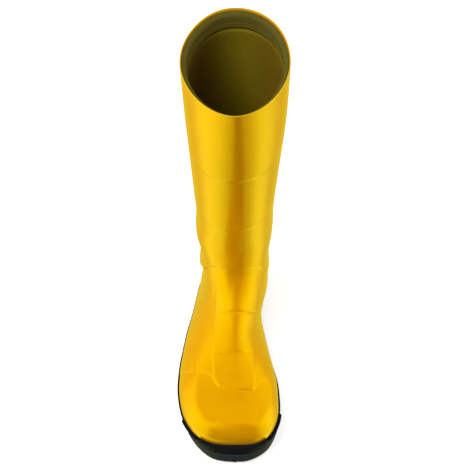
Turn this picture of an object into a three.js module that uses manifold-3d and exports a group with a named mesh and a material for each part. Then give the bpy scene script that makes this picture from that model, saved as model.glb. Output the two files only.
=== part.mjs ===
// A right-foot safety wellington: a moulded yellow upper on a black sole, with a knitted lining,
// a steel toe cap, a steel plate under the foot and a footbed that lifts at the heel.
// Millimetres. +Z is up, the toe points along -Y, and +X is the inner (big-toe) side of the foot.
import * as THREE from "three";
import { mergeVertices } from "three/addons/utils/BufferGeometryUtils.js";
import Module from "manifold-3d";

const wasm = await Module();
wasm.setup();

// ---- Driving dimensions ---------------------------------------------------------------------
const SHAFT_HEIGHT = 409; // ground to the topline at the calf
const TOPLINE_DROP = 26; // how much lower the topline is at the shin
const OPENING_WIDTH = 117; // across the topline, outside
const SOLE_LENGTH = 305; // toe bumper to heel
const SOLE_WIDTH = 119.5; // across the ball of the foot
const UPPER_WALL = 4;
const LINING_WALL = 1.8;
const CUFF_WALL = 2.6; // the doubled hem at the top of the lining
const CUFF_DEPTH = 16;
const CAP_WALL = 1.8;
const CAP_FLANGE = 9; // how far the toe cap turns in under the toes
const STRIP_WIDTH = 6; // the soft strip on the toe cap's rear edge
const BOARD_THICK = 2; // at the ball, and thicker at the heel seat
const BOARD_FRONT_Y = -98;
const FOOTBED_THICK = 5;
const COVER_THICK = 1.2;
const HEEL_PAD_THICK = 2;
const HEEL_PAD_WIDTH = 38;
const HEEL_PAD_LENGTH = 46;
const HEEL_PAD_Y = 100;
const PLATE_THICK = 0.8;
const PLATE_INSET = 14; // from the edge of the sole to the edge of the steel plate
const SHANK_LENGTH = 100;
const SHANK_WIDTH = 15;
const SHANK_THICK = 1.5;
const SHANK_Y = 15;
const HEEL_CORE_INSET = 20;
const HEEL_CORE_THICK = 4.5;
const HEEL_CORE_FRONT_Y = 75;
const LUG_DEPTH = 5;
const LUG_PITCH = 17; // along the foot
const GROOVE = 5; // between one lug and the next
const GROOVE_X = -6; // the groove along the foot, beside the leg's middle
const BALL_LUGS = [-153, 0]; // y of the first and last lug's outer edge under the ball
const HEEL_LUGS = [62, 153]; // and under the heel
const LUG_INSET = 2; // from the edge of the sole to the lugs
const TREAD_SHEET = 3.5; // the solid sheet that carries the lugs
const SOLE_EDGE = 2; // how far the sole's wall stands out from the upper
const BUMPER_WIDTH = 68;
const BUMPER_TOP = 32;
const BUMPER_BACK_Y = -105;
const KICK_LEDGE = 4; // the ledge at the heel that the other foot pushes on
const KICK_LEDGE_WIDTH = 40;
const KICK_LEDGE_HEIGHT = 9;
const KICK_LEDGE_ROOT = 12; // how far the ledge reaches back into the sole's wall
const GAP = 0.3; // between pieces that touch
const FOOTBED_EASE = 1.5; // between the footbed and the lining
const FOOTBED_LIFT = 6; // degrees that the footbed's heel end can be lifted, as one stiff piece
const LIFT_SETBACK = 8; // from the footbed's front end back to the line it lifts about

// ---- The last: the closed form that the upper is moulded round --------------------------------
// Each station is one slice across the boot, from its front (or top) line to its back (or bottom)
// line: s, front y, front z, back y, back z, half widths on the outer and inner side, sideways
// shift of the front and back line, place of the widest point, roundness of the front and back.
const LAST_HEIGHT = 409;
const LAST_LENGTH = 305;
const LAST_OPENING = 117;
const LAST_BALL = 119.5;
const ANKLE_Z = 132; // above this height a taller boot grows
const ANKLE_S = 34;
const ANKLE_Y = 24; // in front of this line a longer boot grows
const HEEL_BOTTOM_S = 47;
const TOE_S = 67;
const FLOOR_Z = 18; // underside of the upper
const STATIONS = [
  [0, 3, 383, 157, 409, 58.5, 58.5, 0, 0, 0.5, 1.85, 2.1],
  [8, 9, 318, 155, 330, 54.5, 56, 0, 0, 0.5, 2.05, 2.1],
  [16, 16, 255, 151, 256, 49, 49, 0, 0, 0.5, 2.15, 2.1],
  [23, 21, 200, 147, 194, 46, 45, 0, 0, 0.5, 2.2, 2.1],
  [29, 24, 160, 143, 146, 45.5, 44, 0, 0, 0.52, 2.2, 2.1],
  [34, 19, 132, 142, 104, 38.5, 40.5, 0, 0, 0.56, 2.2, 2.1],
  [39, 5, 113, 147, 64, 38, 41, 0, 0, 0.62, 2.2, 2.2],
  [43, -9, 103, 148, 34, 41, 39.5, 0, 0, 0.66, 2.2, 2.5],
  [47, -20, 96, 124, 18.3, 45, 36, 0, 0, 0.7, 2.2, 2.7],
  [52, -35, 88, 72, 18, 52, 32.5, 0, 0, 0.74, 2.2, 3.2],
  [57, -53, 79, 20, 18, 60, 38, 0, 0, 0.76, 2.2, 3.6],
  [62, -73, 71, -30, 18, 63, 47.5, 0, -2, 0.76, 2.4, 3.8],
  [67, -95, 63.5, -75, 18, 61.5, 52.5, -2, -3, 0.72, 2.9, 3.8],
];
const TOE_TIP = [-147.5, 31]; // y and z of the foremost point
const TOE_ANGLES = [24, 44, 60, 73, 83, 90]; // the toe closes over a quarter turn
const TOE_STEP = 2.5; // s between one toe slice and the next
const TIP_S = TOE_S + TOE_STEP * TOE_ANGLES.length;
const SLICE_POINTS = 28; // round one slice
const STRIP_TURNS = 8; // how many of those the cap's strip covers either side of the front line

// Outline of the sole, seen from above, from the toe round the outer side to the heel and back.
const SOLE_POINTS = [
  [0, -152.5],
  [-28, -146.5],
  [-50, -121],
  [-62.5, -83],
  [-67, -38],
  [-60, 10],
  [-48.5, 60],
  [-43, 112],
  [-27, 145],
  [0, 152.5],
  [27, 145],
  [41.5, 112],
  [37, 60],
  [39.5, 10],
  [50.5, -40],
  [52.5, -90],
  [41, -130],
  [22, -148],
];
const OUTLINE_STEPS = 64;

// Height of the sole's wall along the boot: y, z.
const WALL_TOP = [
  [-170, 27],
  [-110, 29],
  [-60, 28],
  [0, 26],
  [60, 27],
  [110, 30],
  [170, 30],
];

// ---- Sizes that follow ------------------------------------------------------------------------
const TALLER = (SHAFT_HEIGHT - ANKLE_Z) / (LAST_HEIGHT - ANKLE_Z);
const LONGER = SOLE_LENGTH / LAST_LENGTH;
const LINING_DEPTH = UPPER_WALL + GAP;
const CAP_DEPTH = CAP_WALL + GAP; // room that the toe cap takes between upper and lining
const LINED = LINING_DEPTH + LINING_WALL; // from outside the upper to inside the lining
const SHEET_BOTTOM = LUG_DEPTH;
const MIDSOLE_BOTTOM = SHEET_BOTTOM + TREAD_SHEET + GAP;
const PLATE_TOP = FLOOR_Z - 3 * GAP;
const PLATE_BOTTOM = PLATE_TOP - PLATE_THICK;
const UNDER_PLATE = PLATE_BOTTOM - GAP;
const BOARD_TOP = FLOOR_Z + LINED + CAP_DEPTH + GAP + BOARD_THICK;
const FOOTBED_BOTTOM = BOARD_TOP + 2 * GAP;
const FOOTBED_TOP = FOOTBED_BOTTOM + FOOTBED_THICK;
const COVER_BOTTOM = FOOTBED_TOP + GAP;
const CAP_S = TOE_S;
const CAP_ROOM_S = STATIONS[STATIONS.length - 2][0];
const CUFF_TOP_S = 0.4;
const S_PER_MM = STATIONS[1][0] / ((STATIONS[0][2] - STATIONS[1][2]) * TALLER);
const CUFF_END_S = CUFF_TOP_S + CUFF_DEPTH * S_PER_MM;
const LINING_START_S = CUFF_END_S + GAP * S_PER_MM;
const INSTEP_S_PER_MM = 5 / (22 * LONGER); // five steps of s run 22 mm over the instep
const STRIP_TO_S = CAP_S - GAP * INSTEP_S_PER_MM;
const STRIP_FROM_S = STRIP_TO_S - STRIP_WIDTH * INSTEP_S_PER_MM;
const SHARED_STOPS = [CUFF_TOP_S, CUFF_END_S, STRIP_FROM_S, STRIP_TO_S];
const soleY = (at) => at * LONGER; // places along the sole grow with it

// ---- Small mathematics ------------------------------------------------------------------------
const blend = (a, b, t) => a + (b - a) * t;
const smooth = (from, to, x) => THREE.MathUtils.smoothstep(x, from, to);

// The station table at the boot's own size: the leg grows upwards, the foot grows along y, and the
// widths follow the opening at the top and the ball at the foot.
function sizedStations() {
  return STATIONS.map(([s, frontY, frontZ, backY, backZ, out, inner, ...rest]) => {
    const top = 1 - smooth(0, ANKLE_S, s);
    const foot = smooth(ANKLE_S, HEEL_BOTTOM_S, s);
    const wide =
      1 + top * (OPENING_WIDTH / LAST_OPENING - 1) + foot * (SOLE_WIDTH / LAST_BALL - 1);
    const tall = (z) => (z > ANKLE_Z ? ANKLE_Z + (z - ANKLE_Z) * TALLER : z);
    const long = (y) => blend(y, ANKLE_Y + (y - ANKLE_Y) * LONGER, foot);
    const drop = s === 0 ? LAST_HEIGHT - frontZ - TOPLINE_DROP : 0;
    return [
      s,
      long(frontY),
      tall(frontZ) + drop,
      long(backY),
      tall(backZ),
      out * wide,
      inner * wide,
      ...rest,
    ];
  });
}

// The way inwards from one edge line of the slices, at each of its points: across the line, on
// the side of the opposite line.
function inwards(line, opposite) {
  return line.map(([y, z], i) => {
    const before = line[Math.max(i - 1, 0)];
    const after = line[Math.min(i + 1, line.length - 1)];
    const normal = new THREE.Vector2(before[1] - after[1], after[0] - before[0]).normalize();
    const side = Math.sign(normal.x * (opposite[i][0] - y) + normal.y * (opposite[i][1] - z));
    return [side * normal.x, side * normal.y];
  });
}

// The whole slice table: the stations, then the slices that close the toe. Six columns are added
// to each row, and say how far the edges and the half widths move for each millimetre inwards:
// front y, front z, back y, back z, outer half width, inner half width.
function sliceTable() {
  const rows = sizedStations();
  const fronts = rows.map((row) => [row[1], row[2]]);
  const backs = rows.map((row) => [row[3], row[4]]);
  const frontWays = inwards(fronts, backs);
  const backWays = inwards(backs, fronts);
  const leg = rows.map((row, i) => [...row, ...frontWays[i], ...backWays[i], 1, 1]);
  const base = leg[leg.length - 1];
  const tipY = ANKLE_Y + (TOE_TIP[0] - ANKLE_Y) * LONGER;
  const toe = TOE_ANGLES.map((angle, i) => {
    const along = Math.sin(THREE.MathUtils.degToRad(angle));
    const left = Math.max(Math.cos(THREE.MathUtils.degToRad(angle)), 0);
    const wide = left ** (2 / 3.1);
    const high = left ** (2 / 3.2);
    const top = high * (1 - 0.1 * along);
    const forward = along ** 1.15;
    return [
      TOE_S + TOE_STEP * (i + 1),
      blend(base[1], tipY, forward),
      blend(TOE_TIP[1], base[2], top),
      blend(base[3], tipY, along),
      blend(TOE_TIP[1], base[4], high),
      base[5] * wide,
      base[6] * wide * (1 + 0.04 * along),
      base[7] + 3 * along,
      base[8] + 4 * along,
      blend(base[9], 0.55, along),
      blend(base[10], 2.6, along),
      blend(base[11], 2.6, along),
      blend(base[12], 1, forward),
      base[13] * top,
      blend(base[14], 1, along),
      base[15] * high,
      wide,
      wide,
    ];
  });
  return [...leg, ...toe];
}

// A smooth curve through every column of the slice table, read at s (cubic Hermite, with each
// slope the average of its two chords weighted by the nearer one, and held back where the column
// levels off, so that it never overshoots).
function readSlices(s) {
  const rows = SLICES;
  const last = rows.length - 1;
  let i = 0;
  while (i < last - 1 && s >= rows[i + 1][0]) i += 1;
  const span = (k) => rows[k + 1][0] - rows[k][0];
  const chord = (k, c) => (rows[k + 1][c] - rows[k][c]) / span(k);
  const inside = (k, c) => {
    const [a, b] = [chord(k - 1, c), chord(k, c)];
    const mean = (a * span(k) + b * span(k - 1)) / (span(k) + span(k - 1));
    if (a * b < 0) return mean;
    return Math.sign(mean) * Math.min(Math.abs(mean), 3 * Math.abs(a), 3 * Math.abs(b));
  };
  const slope = (k, c) => {
    if (k === 0) return 1.5 * chord(0, c) - 0.5 * inside(1, c);
    if (k === last) return 1.5 * chord(last - 1, c) - 0.5 * inside(last - 1, c);
    return inside(k, c);
  };
  const t = (s - rows[i][0]) / span(i);
  return rows[i].map((value, c) => {
    if (c === 0) return s;
    const ahead = rows[i + 1][c];
    return (
      (2 * t ** 3 - 3 * t ** 2 + 1) * value +
      (t ** 3 - 2 * t ** 2 + t) * span(i) * slope(i, c) +
      (3 * t ** 2 - 2 * t ** 3) * ahead +
      (t ** 3 - t ** 2) * span(i) * slope(i + 1, c)
    );
  });
}

// One ring of points round the slice at s, `depth(s)` inside the last. The ring is two half
// super-ellipses that meet at the widest point; it starts at the front line and passes the inner
// side first.
function ring(s, depth) {
  const row = readSlices(s);
  const d = depth(s);
  const moved = (column, way) => row[column] + d * row[way];
  const [fy, fz, by, bz] = [moved(1, 12), moved(2, 13), moved(3, 14), moved(4, 15)];
  const out = Math.max(row[5] - d * row[16], 0);
  const inner = Math.max(row[6] - d * row[17], 0);
  const [, , , , , , , fx, bx, widest, nFront, nBack] = row;
  return Array.from({ length: SLICE_POINTS }, (_, j) => {
    const turn = (2 * Math.PI * j) / SLICE_POINTS;
    const c = Math.cos(turn);
    const n = c >= 0 ? nFront : nBack;
    const r = (Math.abs(c) ** n + Math.abs(Math.sin(turn)) ** n) ** (-1 / n);
    const t = c >= 0 ? widest * (1 - r * c) : widest - (1 - widest) * r * c;
    const half = Math.sin(turn) >= 0 ? inner : out;
    return [blend(fx, bx, t) + half * r * Math.sin(turn), blend(fy, by, t), blend(fz, bz, t)];
  });
}

// The slices that every skin is drawn at, so that skins inside one another never cross.
function sliceStops(from, to) {
  const stops = [...SHARED_STOPS];
  STATIONS.slice(1).forEach((row, i) => {
    const before = STATIONS[i][0];
    stops.push(before, blend(before, row[0], 0.5));
  });
  for (let s = TOE_S; s < TIP_S; s += TOE_STEP) stops.push(s);
  const between = stops.filter((s) => s > from && s < to).sort((a, b) => a - b);
  return [from, ...between, to];
}

// ---- Solids -----------------------------------------------------------------------------------
function fromTriangles(points, faces) {
  const geometry = new THREE.BufferGeometry();
  geometry.setAttribute("position", new THREE.Float32BufferAttribute(points.flat(), 3));
  geometry.setIndex(faces.flat());
  return geometry;
}

// Joins the ring that starts at point a to the ring that starts at point b.
function ringFaces(a, b, flip = false) {
  const faces = [];
  for (let j = 0; j < SLICE_POINTS; j += 1) {
    const k = (j + 1) % SLICE_POINTS;
    const quad = [
      [a + j, b + j, b + k],
      [a + j, b + k, a + k],
    ];
    faces.push(...(flip ? quad.map((f) => f.slice().reverse()) : quad));
  }
  return faces;
}

function fanFaces(a, centre, flip = false) {
  return Array.from({ length: SLICE_POINTS }, (_, j) => {
    const face = [a + j, centre, a + ((j + 1) % SLICE_POINTS)];
    return flip ? face.reverse() : face;
  });
}

const SLICES = sliceTable();
const tipRow = SLICES[SLICES.length - 1];
const tipAt = (depth) => [tipRow[7], tipRow[1] + depth(TIP_S), TOE_TIP[1]];

// A skin of the last with a wall: a bag where it reaches the toe, a band where it doesn't.
function shell(outerDepth, innerDepth, from, to = TIP_S) {
  const stops = sliceStops(from, to).filter((s) => s < TIP_S);
  const points = [];
  const faces = [];
  const starts = [outerDepth, innerDepth].map((depth, side) => {
    const first = points.length;
    stops.forEach((s) => points.push(...ring(s, depth)));
    for (let i = 0; i < stops.length - 1; i += 1) {
      const a = first + i * SLICE_POINTS;
      faces.push(...ringFaces(a, a + SLICE_POINTS, side === 1));
    }
    if (to === TIP_S) {
      points.push(tipAt(depth));
      const last = first + (stops.length - 1) * SLICE_POINTS;
      faces.push(...fanFaces(last, points.length - 1, side === 1));
    }
    return first;
  });
  faces.push(...ringFaces(starts[0], starts[1], true));
  if (to !== TIP_S) {
    const last = (stops.length - 1) * SLICE_POINTS;
    faces.push(...ringFaces(starts[0] + last, starts[1] + last));
  }
  return fromTriangles(points, faces);
}

// The filled form of a skin, closed at the top.
function filled(depth, from) {
  const stops = sliceStops(from, TIP_S).filter((s) => s < TIP_S);
  const points = stops.flatMap((s) => ring(s, depth));
  const faces = [];
  for (let i = 0; i < stops.length - 1; i += 1) {
    faces.push(...ringFaces(i * SLICE_POINTS, (i + 1) * SLICE_POINTS));
  }
  points.push(tipAt(depth));
  faces.push(...fanFaces((stops.length - 1) * SLICE_POINTS, points.length - 1));
  const opening = points.slice(0, SLICE_POINTS);
  points.push([0, 1, 2].map((axis) => opening.reduce((sum, p) => sum + p[axis], 0) / SLICE_POINTS));
  faces.push(...fanFaces(0, points.length - 1, true));
  return fromTriangles(points, faces);
}

// Part of a skin with a wall, between two turns either side of the front line.
function patch(outerDepth, innerDepth, from, to, turns) {
  const stops = [from, to];
  const columns = [];
  for (let j = -turns; j <= turns; j += 1) columns.push((j + SLICE_POINTS) % SLICE_POINTS);
  const n = columns.length;
  const points = [outerDepth, innerDepth].flatMap((depth) =>
    stops.flatMap((s) => {
      const whole = ring(s, depth);
      return columns.map((j) => whole[j]);
    }),
  );
  const quad = (a, b, c, d) => [
    [a, b, c],
    [a, c, d],
  ];
  const [o0, o1, i0, i1] = [0, n, 2 * n, 3 * n];
  const faces = [];
  for (let j = 0; j < n - 1; j += 1) {
    faces.push(...quad(o0 + j, o1 + j, o1 + j + 1, o0 + j + 1));
    faces.push(...quad(i0 + j, i0 + j + 1, i1 + j + 1, i1 + j));
    faces.push(...quad(o0 + j, o0 + j + 1, i0 + j + 1, i0 + j));
    faces.push(...quad(o1 + j, i1 + j, i1 + j + 1, o1 + j + 1));
  }
  faces.push(...quad(o0, i0, i1, o1));
  faces.push(...quad(o0 + n - 1, o1 + n - 1, i1 + n - 1, i0 + n - 1));
  return fromTriangles(points, faces);
}

function toSolid(geometry) {
  const bare = geometry.index ? geometry.clone() : geometry;
  bare.deleteAttribute("normal");
  bare.deleteAttribute("uv");
  const merged = mergeVertices(bare, 1e-3);
  return new wasm.Manifold(
    new wasm.Mesh({
      numProp: 3,
      vertProperties: merged.attributes.position.array,
      triVerts: new Uint32Array(merged.index.array),
    }),
  );
}

function toGeometry(solid) {
  const mesh = solid.getMesh();
  const geometry = new THREE.BufferGeometry();
  geometry.setAttribute("position", new THREE.BufferAttribute(mesh.vertProperties, 3));
  geometry.setIndex(new THREE.BufferAttribute(mesh.triVerts, 1));
  geometry.computeVertexNormals();
  return geometry;
}

// The sole's outline, moved inwards by `inset`, as points from above.
function soleOutline(inset) {
  const wide = SOLE_WIDTH / LAST_BALL;
  const curve = new THREE.CatmullRomCurve3(
    SOLE_POINTS.map(([x, y]) => new THREE.Vector3(x * wide, soleY(y), 0)),
    true,
    "catmullrom",
    0.5,
  );
  return Array.from({ length: OUTLINE_STEPS }, (_, i) => {
    const u = i / OUTLINE_STEPS;
    const point = curve.getPoint(u);
    const along = curve.getTangent(u);
    return new THREE.Vector2(point.x + along.y * inset, point.y - along.x * inset);
  });
}

// An upright prism on a closed row of points.
function prism(points, bottom, top) {
  const geometry = new THREE.ExtrudeGeometry(new THREE.Shape(points), {
    depth: top - bottom,
    bevelEnabled: false,
  });
  return toSolid(geometry.translate(0, 0, bottom));
}

function box(from, to) {
  const size = from.map((low, axis) => to[axis] - low);
  const middle = from.map((low, axis) => (to[axis] + low) / 2);
  return toSolid(new THREE.BoxGeometry(...size).translate(...middle));
}

// A wall across the whole width whose side view is a closed row of points (y, z).
function sideProfile(points) {
  const reach = 2 * SOLE_WIDTH;
  const geometry = new THREE.ExtrudeGeometry(
    new THREE.Shape(points.map(([y, z]) => new THREE.Vector2(y, z))),
    { depth: reach, bevelEnabled: false },
  );
  geometry.translate(0, 0, -reach / 2);
  geometry.applyMatrix4(new THREE.Matrix4().set(0, 0, 1, 0, 1, 0, 0, 0, 0, 1, 0, 0, 0, 0, 0, 1));
  return toSolid(geometry);
}

// A level slab across the whole boot.
const slab = (bottom, top, fromY = -SOLE_LENGTH, toY = SOLE_LENGTH) =>
  box([-2 * SOLE_WIDTH, fromY, bottom], [2 * SOLE_WIDTH, toY, top]);

// ---- The pieces -------------------------------------------------------------------------------
const atDepth = (depth) => () => depth;

// The lining draws in over the forefoot to leave room for the cap, fully by the station before it.
const liningSide = (s) =>
  CAP_DEPTH * THREE.MathUtils.clamp((s - HEEL_BOTTOM_S) / (CAP_ROOM_S - HEEL_BOTTOM_S), 0, 1);

function upperShell() {
  return shell(atDepth(0), atDepth(UPPER_WALL), 0);
}

function liningSock() {
  return shell(
    (s) => LINING_DEPTH + liningSide(s),
    (s) => LINED + liningSide(s),
    LINING_START_S,
  );
}

function liningCuff() {
  return shell(atDepth(LINING_DEPTH), atDepth(LINING_DEPTH + CUFF_WALL), CUFF_TOP_S, CUFF_END_S);
}

// The steel cap follows the toe inside the upper and turns in under the toes as a flange.
function toeCap() {
  const whole = toSolid(shell(atDepth(LINING_DEPTH), atDepth(LINING_DEPTH + CAP_WALL), CAP_S));
  const mouth = soleOutline(LINING_DEPTH + SOLE_EDGE + CAP_FLANGE);
  return toGeometry(whole.subtract(prism(mouth, 0, TOE_TIP[1])));
}

function toeCapStrip() {
  const depths = [atDepth(LINING_DEPTH), atDepth(LINING_DEPTH + CAP_WALL)];
  return patch(...depths, STRIP_FROM_S, STRIP_TO_S, STRIP_TURNS);
}

// What lies inside the lining, `ease` clear of it.
const formInside = (ease) => filled((s) => LINED + liningSide(s) + ease, ANKLE_S);
const roomInside = (ease) => toSolid(formInside(ease));

// The line across the toes that the footbed lifts about: its y and z.
const LIFT_LINE = [
  tipRow[1] + LINED + CAP_DEPTH + FOOTBED_EASE + LIFT_SETBACK,
  FOOTBED_BOTTOM,
];

// The room that the footbed keeps within while its heel end is lifted, seen from the footbed.
function liftingRoom() {
  const tries = [1 / 3, 2 / 3, 1].map((part) => {
    const room = formInside(FOOTBED_EASE);
    room.translate(0, -LIFT_LINE[0], -LIFT_LINE[1]);
    room.rotateX(-THREE.MathUtils.degToRad(FOOTBED_LIFT * part));
    return toSolid(room.translate(0, LIFT_LINE[0], LIFT_LINE[1]));
  });
  return tries.reduce((all, room) => all.intersect(room), roomInside(FOOTBED_EASE));
}

function insoleBoard() {
  return toGeometry(roomInside(GAP).intersect(slab(0, BOARD_TOP, soleY(BOARD_FRONT_Y))));
}

function heelPadOutline(grow) {
  const ellipse = new THREE.EllipseCurve(
    0,
    soleY(HEEL_PAD_Y),
    HEEL_PAD_WIDTH / 2 + grow,
    HEEL_PAD_LENGTH / 2 + grow,
  );
  return ellipse.getPoints(32).slice(0, -1);
}

function heelPad() {
  return toGeometry(
    prism(heelPadOutline(0), FOOTBED_BOTTOM, FOOTBED_BOTTOM + HEEL_PAD_THICK).intersect(
      liftingRoom(),
    ),
  );
}

function footbedFoam() {
  const body = liftingRoom().intersect(slab(FOOTBED_BOTTOM, FOOTBED_TOP));
  const pocket = prism(heelPadOutline(GAP), 0, FOOTBED_BOTTOM + HEEL_PAD_THICK + GAP);
  return toGeometry(body.subtract(pocket));
}

function footbedCover() {
  const level = slab(COVER_BOTTOM, COVER_BOTTOM + COVER_THICK);
  return toGeometry(liftingRoom().intersect(level));
}

function platePrism(grow, bottom, top) {
  return prism(soleOutline(PLATE_INSET - grow), bottom, top);
}

function shankPrism(grow, bottom, top) {
  const half = SHANK_LENGTH / 2 + grow;
  const middle = soleY(SHANK_Y);
  const side = SHANK_WIDTH / 2 + grow;
  return box([-side, middle - half, bottom], [side, middle + half, top]);
}

function heelCorePrism(grow, bottom, top) {
  const inset = soleOutline(HEEL_CORE_INSET - grow);
  const breast = soleY(HEEL_CORE_FRONT_Y) - grow;
  return prism(inset, bottom, top).intersect(slab(0, 2 * FLOOR_Z, breast));
}

const penetrationPlate = () => toGeometry(platePrism(0, PLATE_BOTTOM, PLATE_TOP));
const shank = () => toGeometry(shankPrism(0, UNDER_PLATE - SHANK_THICK, UNDER_PLATE));
const heelCore = () => toGeometry(heelCorePrism(0, UNDER_PLATE - HEEL_CORE_THICK, UNDER_PLATE));

// The black sole body: a cup round the foot of the upper, with a bumper over the toe, a ledge at
// the heel, and open pockets in its floor for the plate, the shank and the heel core.
function midsoleRand() {
  const outside = prism(soleOutline(0), 0, 2 * BUMPER_TOP).add(
    toSolid(filled(atDepth(-GAP - SOLE_EDGE), ANKLE_S)),
  );
  const wallTop = WALL_TOP.map(([y, z]) => [soleY(y), z]);
  const low = sideProfile([
    [wallTop[0][0], MIDSOLE_BOTTOM],
    [wallTop[wallTop.length - 1][0], MIDSOLE_BOTTOM],
    ...wallTop.toReversed(),
  ]);
  const bumper = box(
    [-BUMPER_WIDTH / 2, -SOLE_LENGTH, MIDSOLE_BOTTOM],
    [BUMPER_WIDTH / 2, soleY(BUMPER_BACK_Y), BUMPER_TOP],
  );
  const heel = SOLE_LENGTH / 2;
  const ledge = box(
    [-KICK_LEDGE_WIDTH / 2, heel - KICK_LEDGE_ROOT, FLOOR_Z],
    [KICK_LEDGE_WIDTH / 2, heel + KICK_LEDGE, FLOOR_Z + KICK_LEDGE_HEIGHT],
  );
  const open = FLOOR_Z + GAP; // the pockets reach up into the cup
  return toGeometry(
    outside
      .intersect(low.add(bumper))
      .add(ledge)
      .subtract(toSolid(filled(atDepth(-GAP), ANKLE_S)))
      .subtract(platePrism(GAP, UNDER_PLATE, open))
      .subtract(shankPrism(GAP, UNDER_PLATE - SHANK_THICK - GAP, open))
      .subtract(heelCorePrism(GAP, UNDER_PLATE - HEEL_CORE_THICK - GAP, open)),
  );
}

// Cross bars under the ball and the heel, cut along the middle and at the sides.
function outsoleTread() {
  const sheet = prism(soleOutline(0), SHEET_BOTTOM, SHEET_BOTTOM + TREAD_SHEET);
  const reach = SOLE_WIDTH;
  const rootZ = SHEET_BOTTOM + TREAD_SHEET / 2;
  const bars = [];
  [BALL_LUGS, HEEL_LUGS].forEach((ends) => {
    const [from, to] = ends.map(soleY);
    const count = Math.max(Math.round((to - from) / LUG_PITCH), 1);
    const pitch = (to - from) / count;
    for (let i = 0; i < count; i += 1) {
      const near = from + i * pitch + GROOVE / 2;
      const far = near + pitch - GROOVE;
      bars.push(box([-reach, near, 0], [GROOVE_X - GROOVE / 2, far, rootZ]));
      bars.push(box([GROOVE_X + GROOVE / 2, near, 0], [reach, far, rootZ]));
    }
  });
  const foot = prism(soleOutline(LUG_INSET), 0, rootZ);
  const lugs = bars.reduce((all, bar) => all.add(bar)).intersect(foot);
  return toGeometry(sheet.add(lugs));
}

// ---- Finishes and assembly --------------------------------------------------------------------
function finish(color, roughness, metalness = 0) {
  return new THREE.MeshStandardMaterial({ color, roughness, metalness });
}
const yellow = finish(0xf0c010, 0.35);
const black = finish(0x1b1b1b, 0.6);
const treadBlack = finish(0x262626, 0.7);
const knit = finish(0x4a4614, 0.95);
const hem = finish(0x2e2c14, 0.95);
const steel = finish(0xa8abad, 0.35, 1);
const board = finish(0x9a7f58, 0.9);
const foam = finish(0x33363a, 0.9);
const felt = finish(0x26282a, 0.95);
const gel = finish(0x2f6fb0, 0.5);
const plastic = finish(0x202224, 0.6);
const cork = finish(0x7a6248, 0.9);

const pieces = [
  ["upper_shell", upperShell(), yellow],
  ["midsole_rand", midsoleRand(), black],
  ["outsole_tread", outsoleTread(), treadBlack],
  ["lining_sock", liningSock(), knit],
  ["lining_cuff", liningCuff(), hem],
  ["steel_toe_cap", toeCap(), steel],
  ["toe_cap_edge_strip", toeCapStrip(), plastic],
  ["insole_board", insoleBoard(), board],
  ["penetration_plate", penetrationPlate(), steel],
  ["arch_shank", shank(), steel],
  ["heel_core", heelCore(), cork],
];
const footbedPieces = [
  ["footbed_foam", footbedFoam(), foam],
  ["footbed_cover", footbedCover(), felt],
  ["footbed_heel_pad", heelPad(), gel],
];

function assemble(list) {
  const group = new THREE.Group();
  list.forEach(([name, geometry, material]) => {
    const mesh = new THREE.Mesh(geometry, material);
    mesh.name = name;
    group.add(mesh);
  });
  return group;
}

// The part's own frame has its origin under the middle of the boot's box, on the ground.
const boot = assemble(pieces);
boot.add(assemble(footbedPieces));
const bounds = new THREE.Box3().setFromObject(boot);
const middle = bounds.getCenter(new THREE.Vector3());
boot.position.set(-middle.x, -middle.y, -bounds.min.z);

const root = new THREE.Group();
root.add(boot);

export default root;
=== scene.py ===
# %% [markdown]
# # A right-foot safety wellington
# The boot is moulded in one yellow skin round a shoemaker's last, stands on a black sole, and is
# lined with knitted fabric. A steel cap, a steel plate and a footbed lie inside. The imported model
# already fixes where every piece is and how the footbed lifts. This lesson builds the pieces that
# are seen, each as a surface worked out with numpy in the same frame, and hides the plain solids
# that they stand for.

import bmesh
import bpy
import numpy as np
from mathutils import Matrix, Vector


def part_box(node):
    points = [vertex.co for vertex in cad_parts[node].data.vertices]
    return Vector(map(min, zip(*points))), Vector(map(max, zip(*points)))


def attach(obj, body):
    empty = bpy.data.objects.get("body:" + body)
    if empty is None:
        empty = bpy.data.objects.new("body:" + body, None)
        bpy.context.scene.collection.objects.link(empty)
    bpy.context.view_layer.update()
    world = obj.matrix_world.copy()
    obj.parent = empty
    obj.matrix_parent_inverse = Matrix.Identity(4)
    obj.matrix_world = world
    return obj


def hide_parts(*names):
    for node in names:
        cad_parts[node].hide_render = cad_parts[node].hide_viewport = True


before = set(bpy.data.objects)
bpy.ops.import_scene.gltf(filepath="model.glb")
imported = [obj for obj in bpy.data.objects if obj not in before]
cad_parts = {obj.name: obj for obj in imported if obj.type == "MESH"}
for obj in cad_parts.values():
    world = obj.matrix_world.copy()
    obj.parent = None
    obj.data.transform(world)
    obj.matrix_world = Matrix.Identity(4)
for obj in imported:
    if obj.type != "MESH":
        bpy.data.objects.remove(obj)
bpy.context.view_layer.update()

# %% [markdown]
# ## Where the last stands
# The last is drawn in millimetres, from the middle of the leg, with the toe along -Y and the big
# toe along +X. The model's own origin is under the middle of its box. The arch shank is a plain
# bar at a known place on the last, so its box gives the shift from one to the other.

# %% From the last to the frame
MM = 0.001
SHANK_Y = 15.0
shank_low, shank_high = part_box("arch_shank")
SHIFT = np.array(
    [(shank_low.x + shank_high.x) / 2, (shank_low.y + shank_high.y) / 2 - SHANK_Y * MM, 0.0]
)


def in_frame(points):
    """Points of the last in millimetres, as metres in the model's frame: scaled, then shifted."""
    return np.asarray(points, float) * MM + SHIFT


def listed(points):
    """A grid of points of the last as one list of points in the model's frame."""
    return in_frame(points).reshape(-1, 3)


print("the last stands at", np.round(SHIFT * 1000, 2), "mm")

# %% [markdown]
# ## From a grid of points to a mesh
# Most pieces here are a closed row of points carried along a path, so their points form a grid.
# Neighbouring rows are joined by quads. Where a row shrinks to a point or to a line its points
# are merged, which closes the pole or the seam.


# %% Grids into meshes
MERGE = 2e-6


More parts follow.
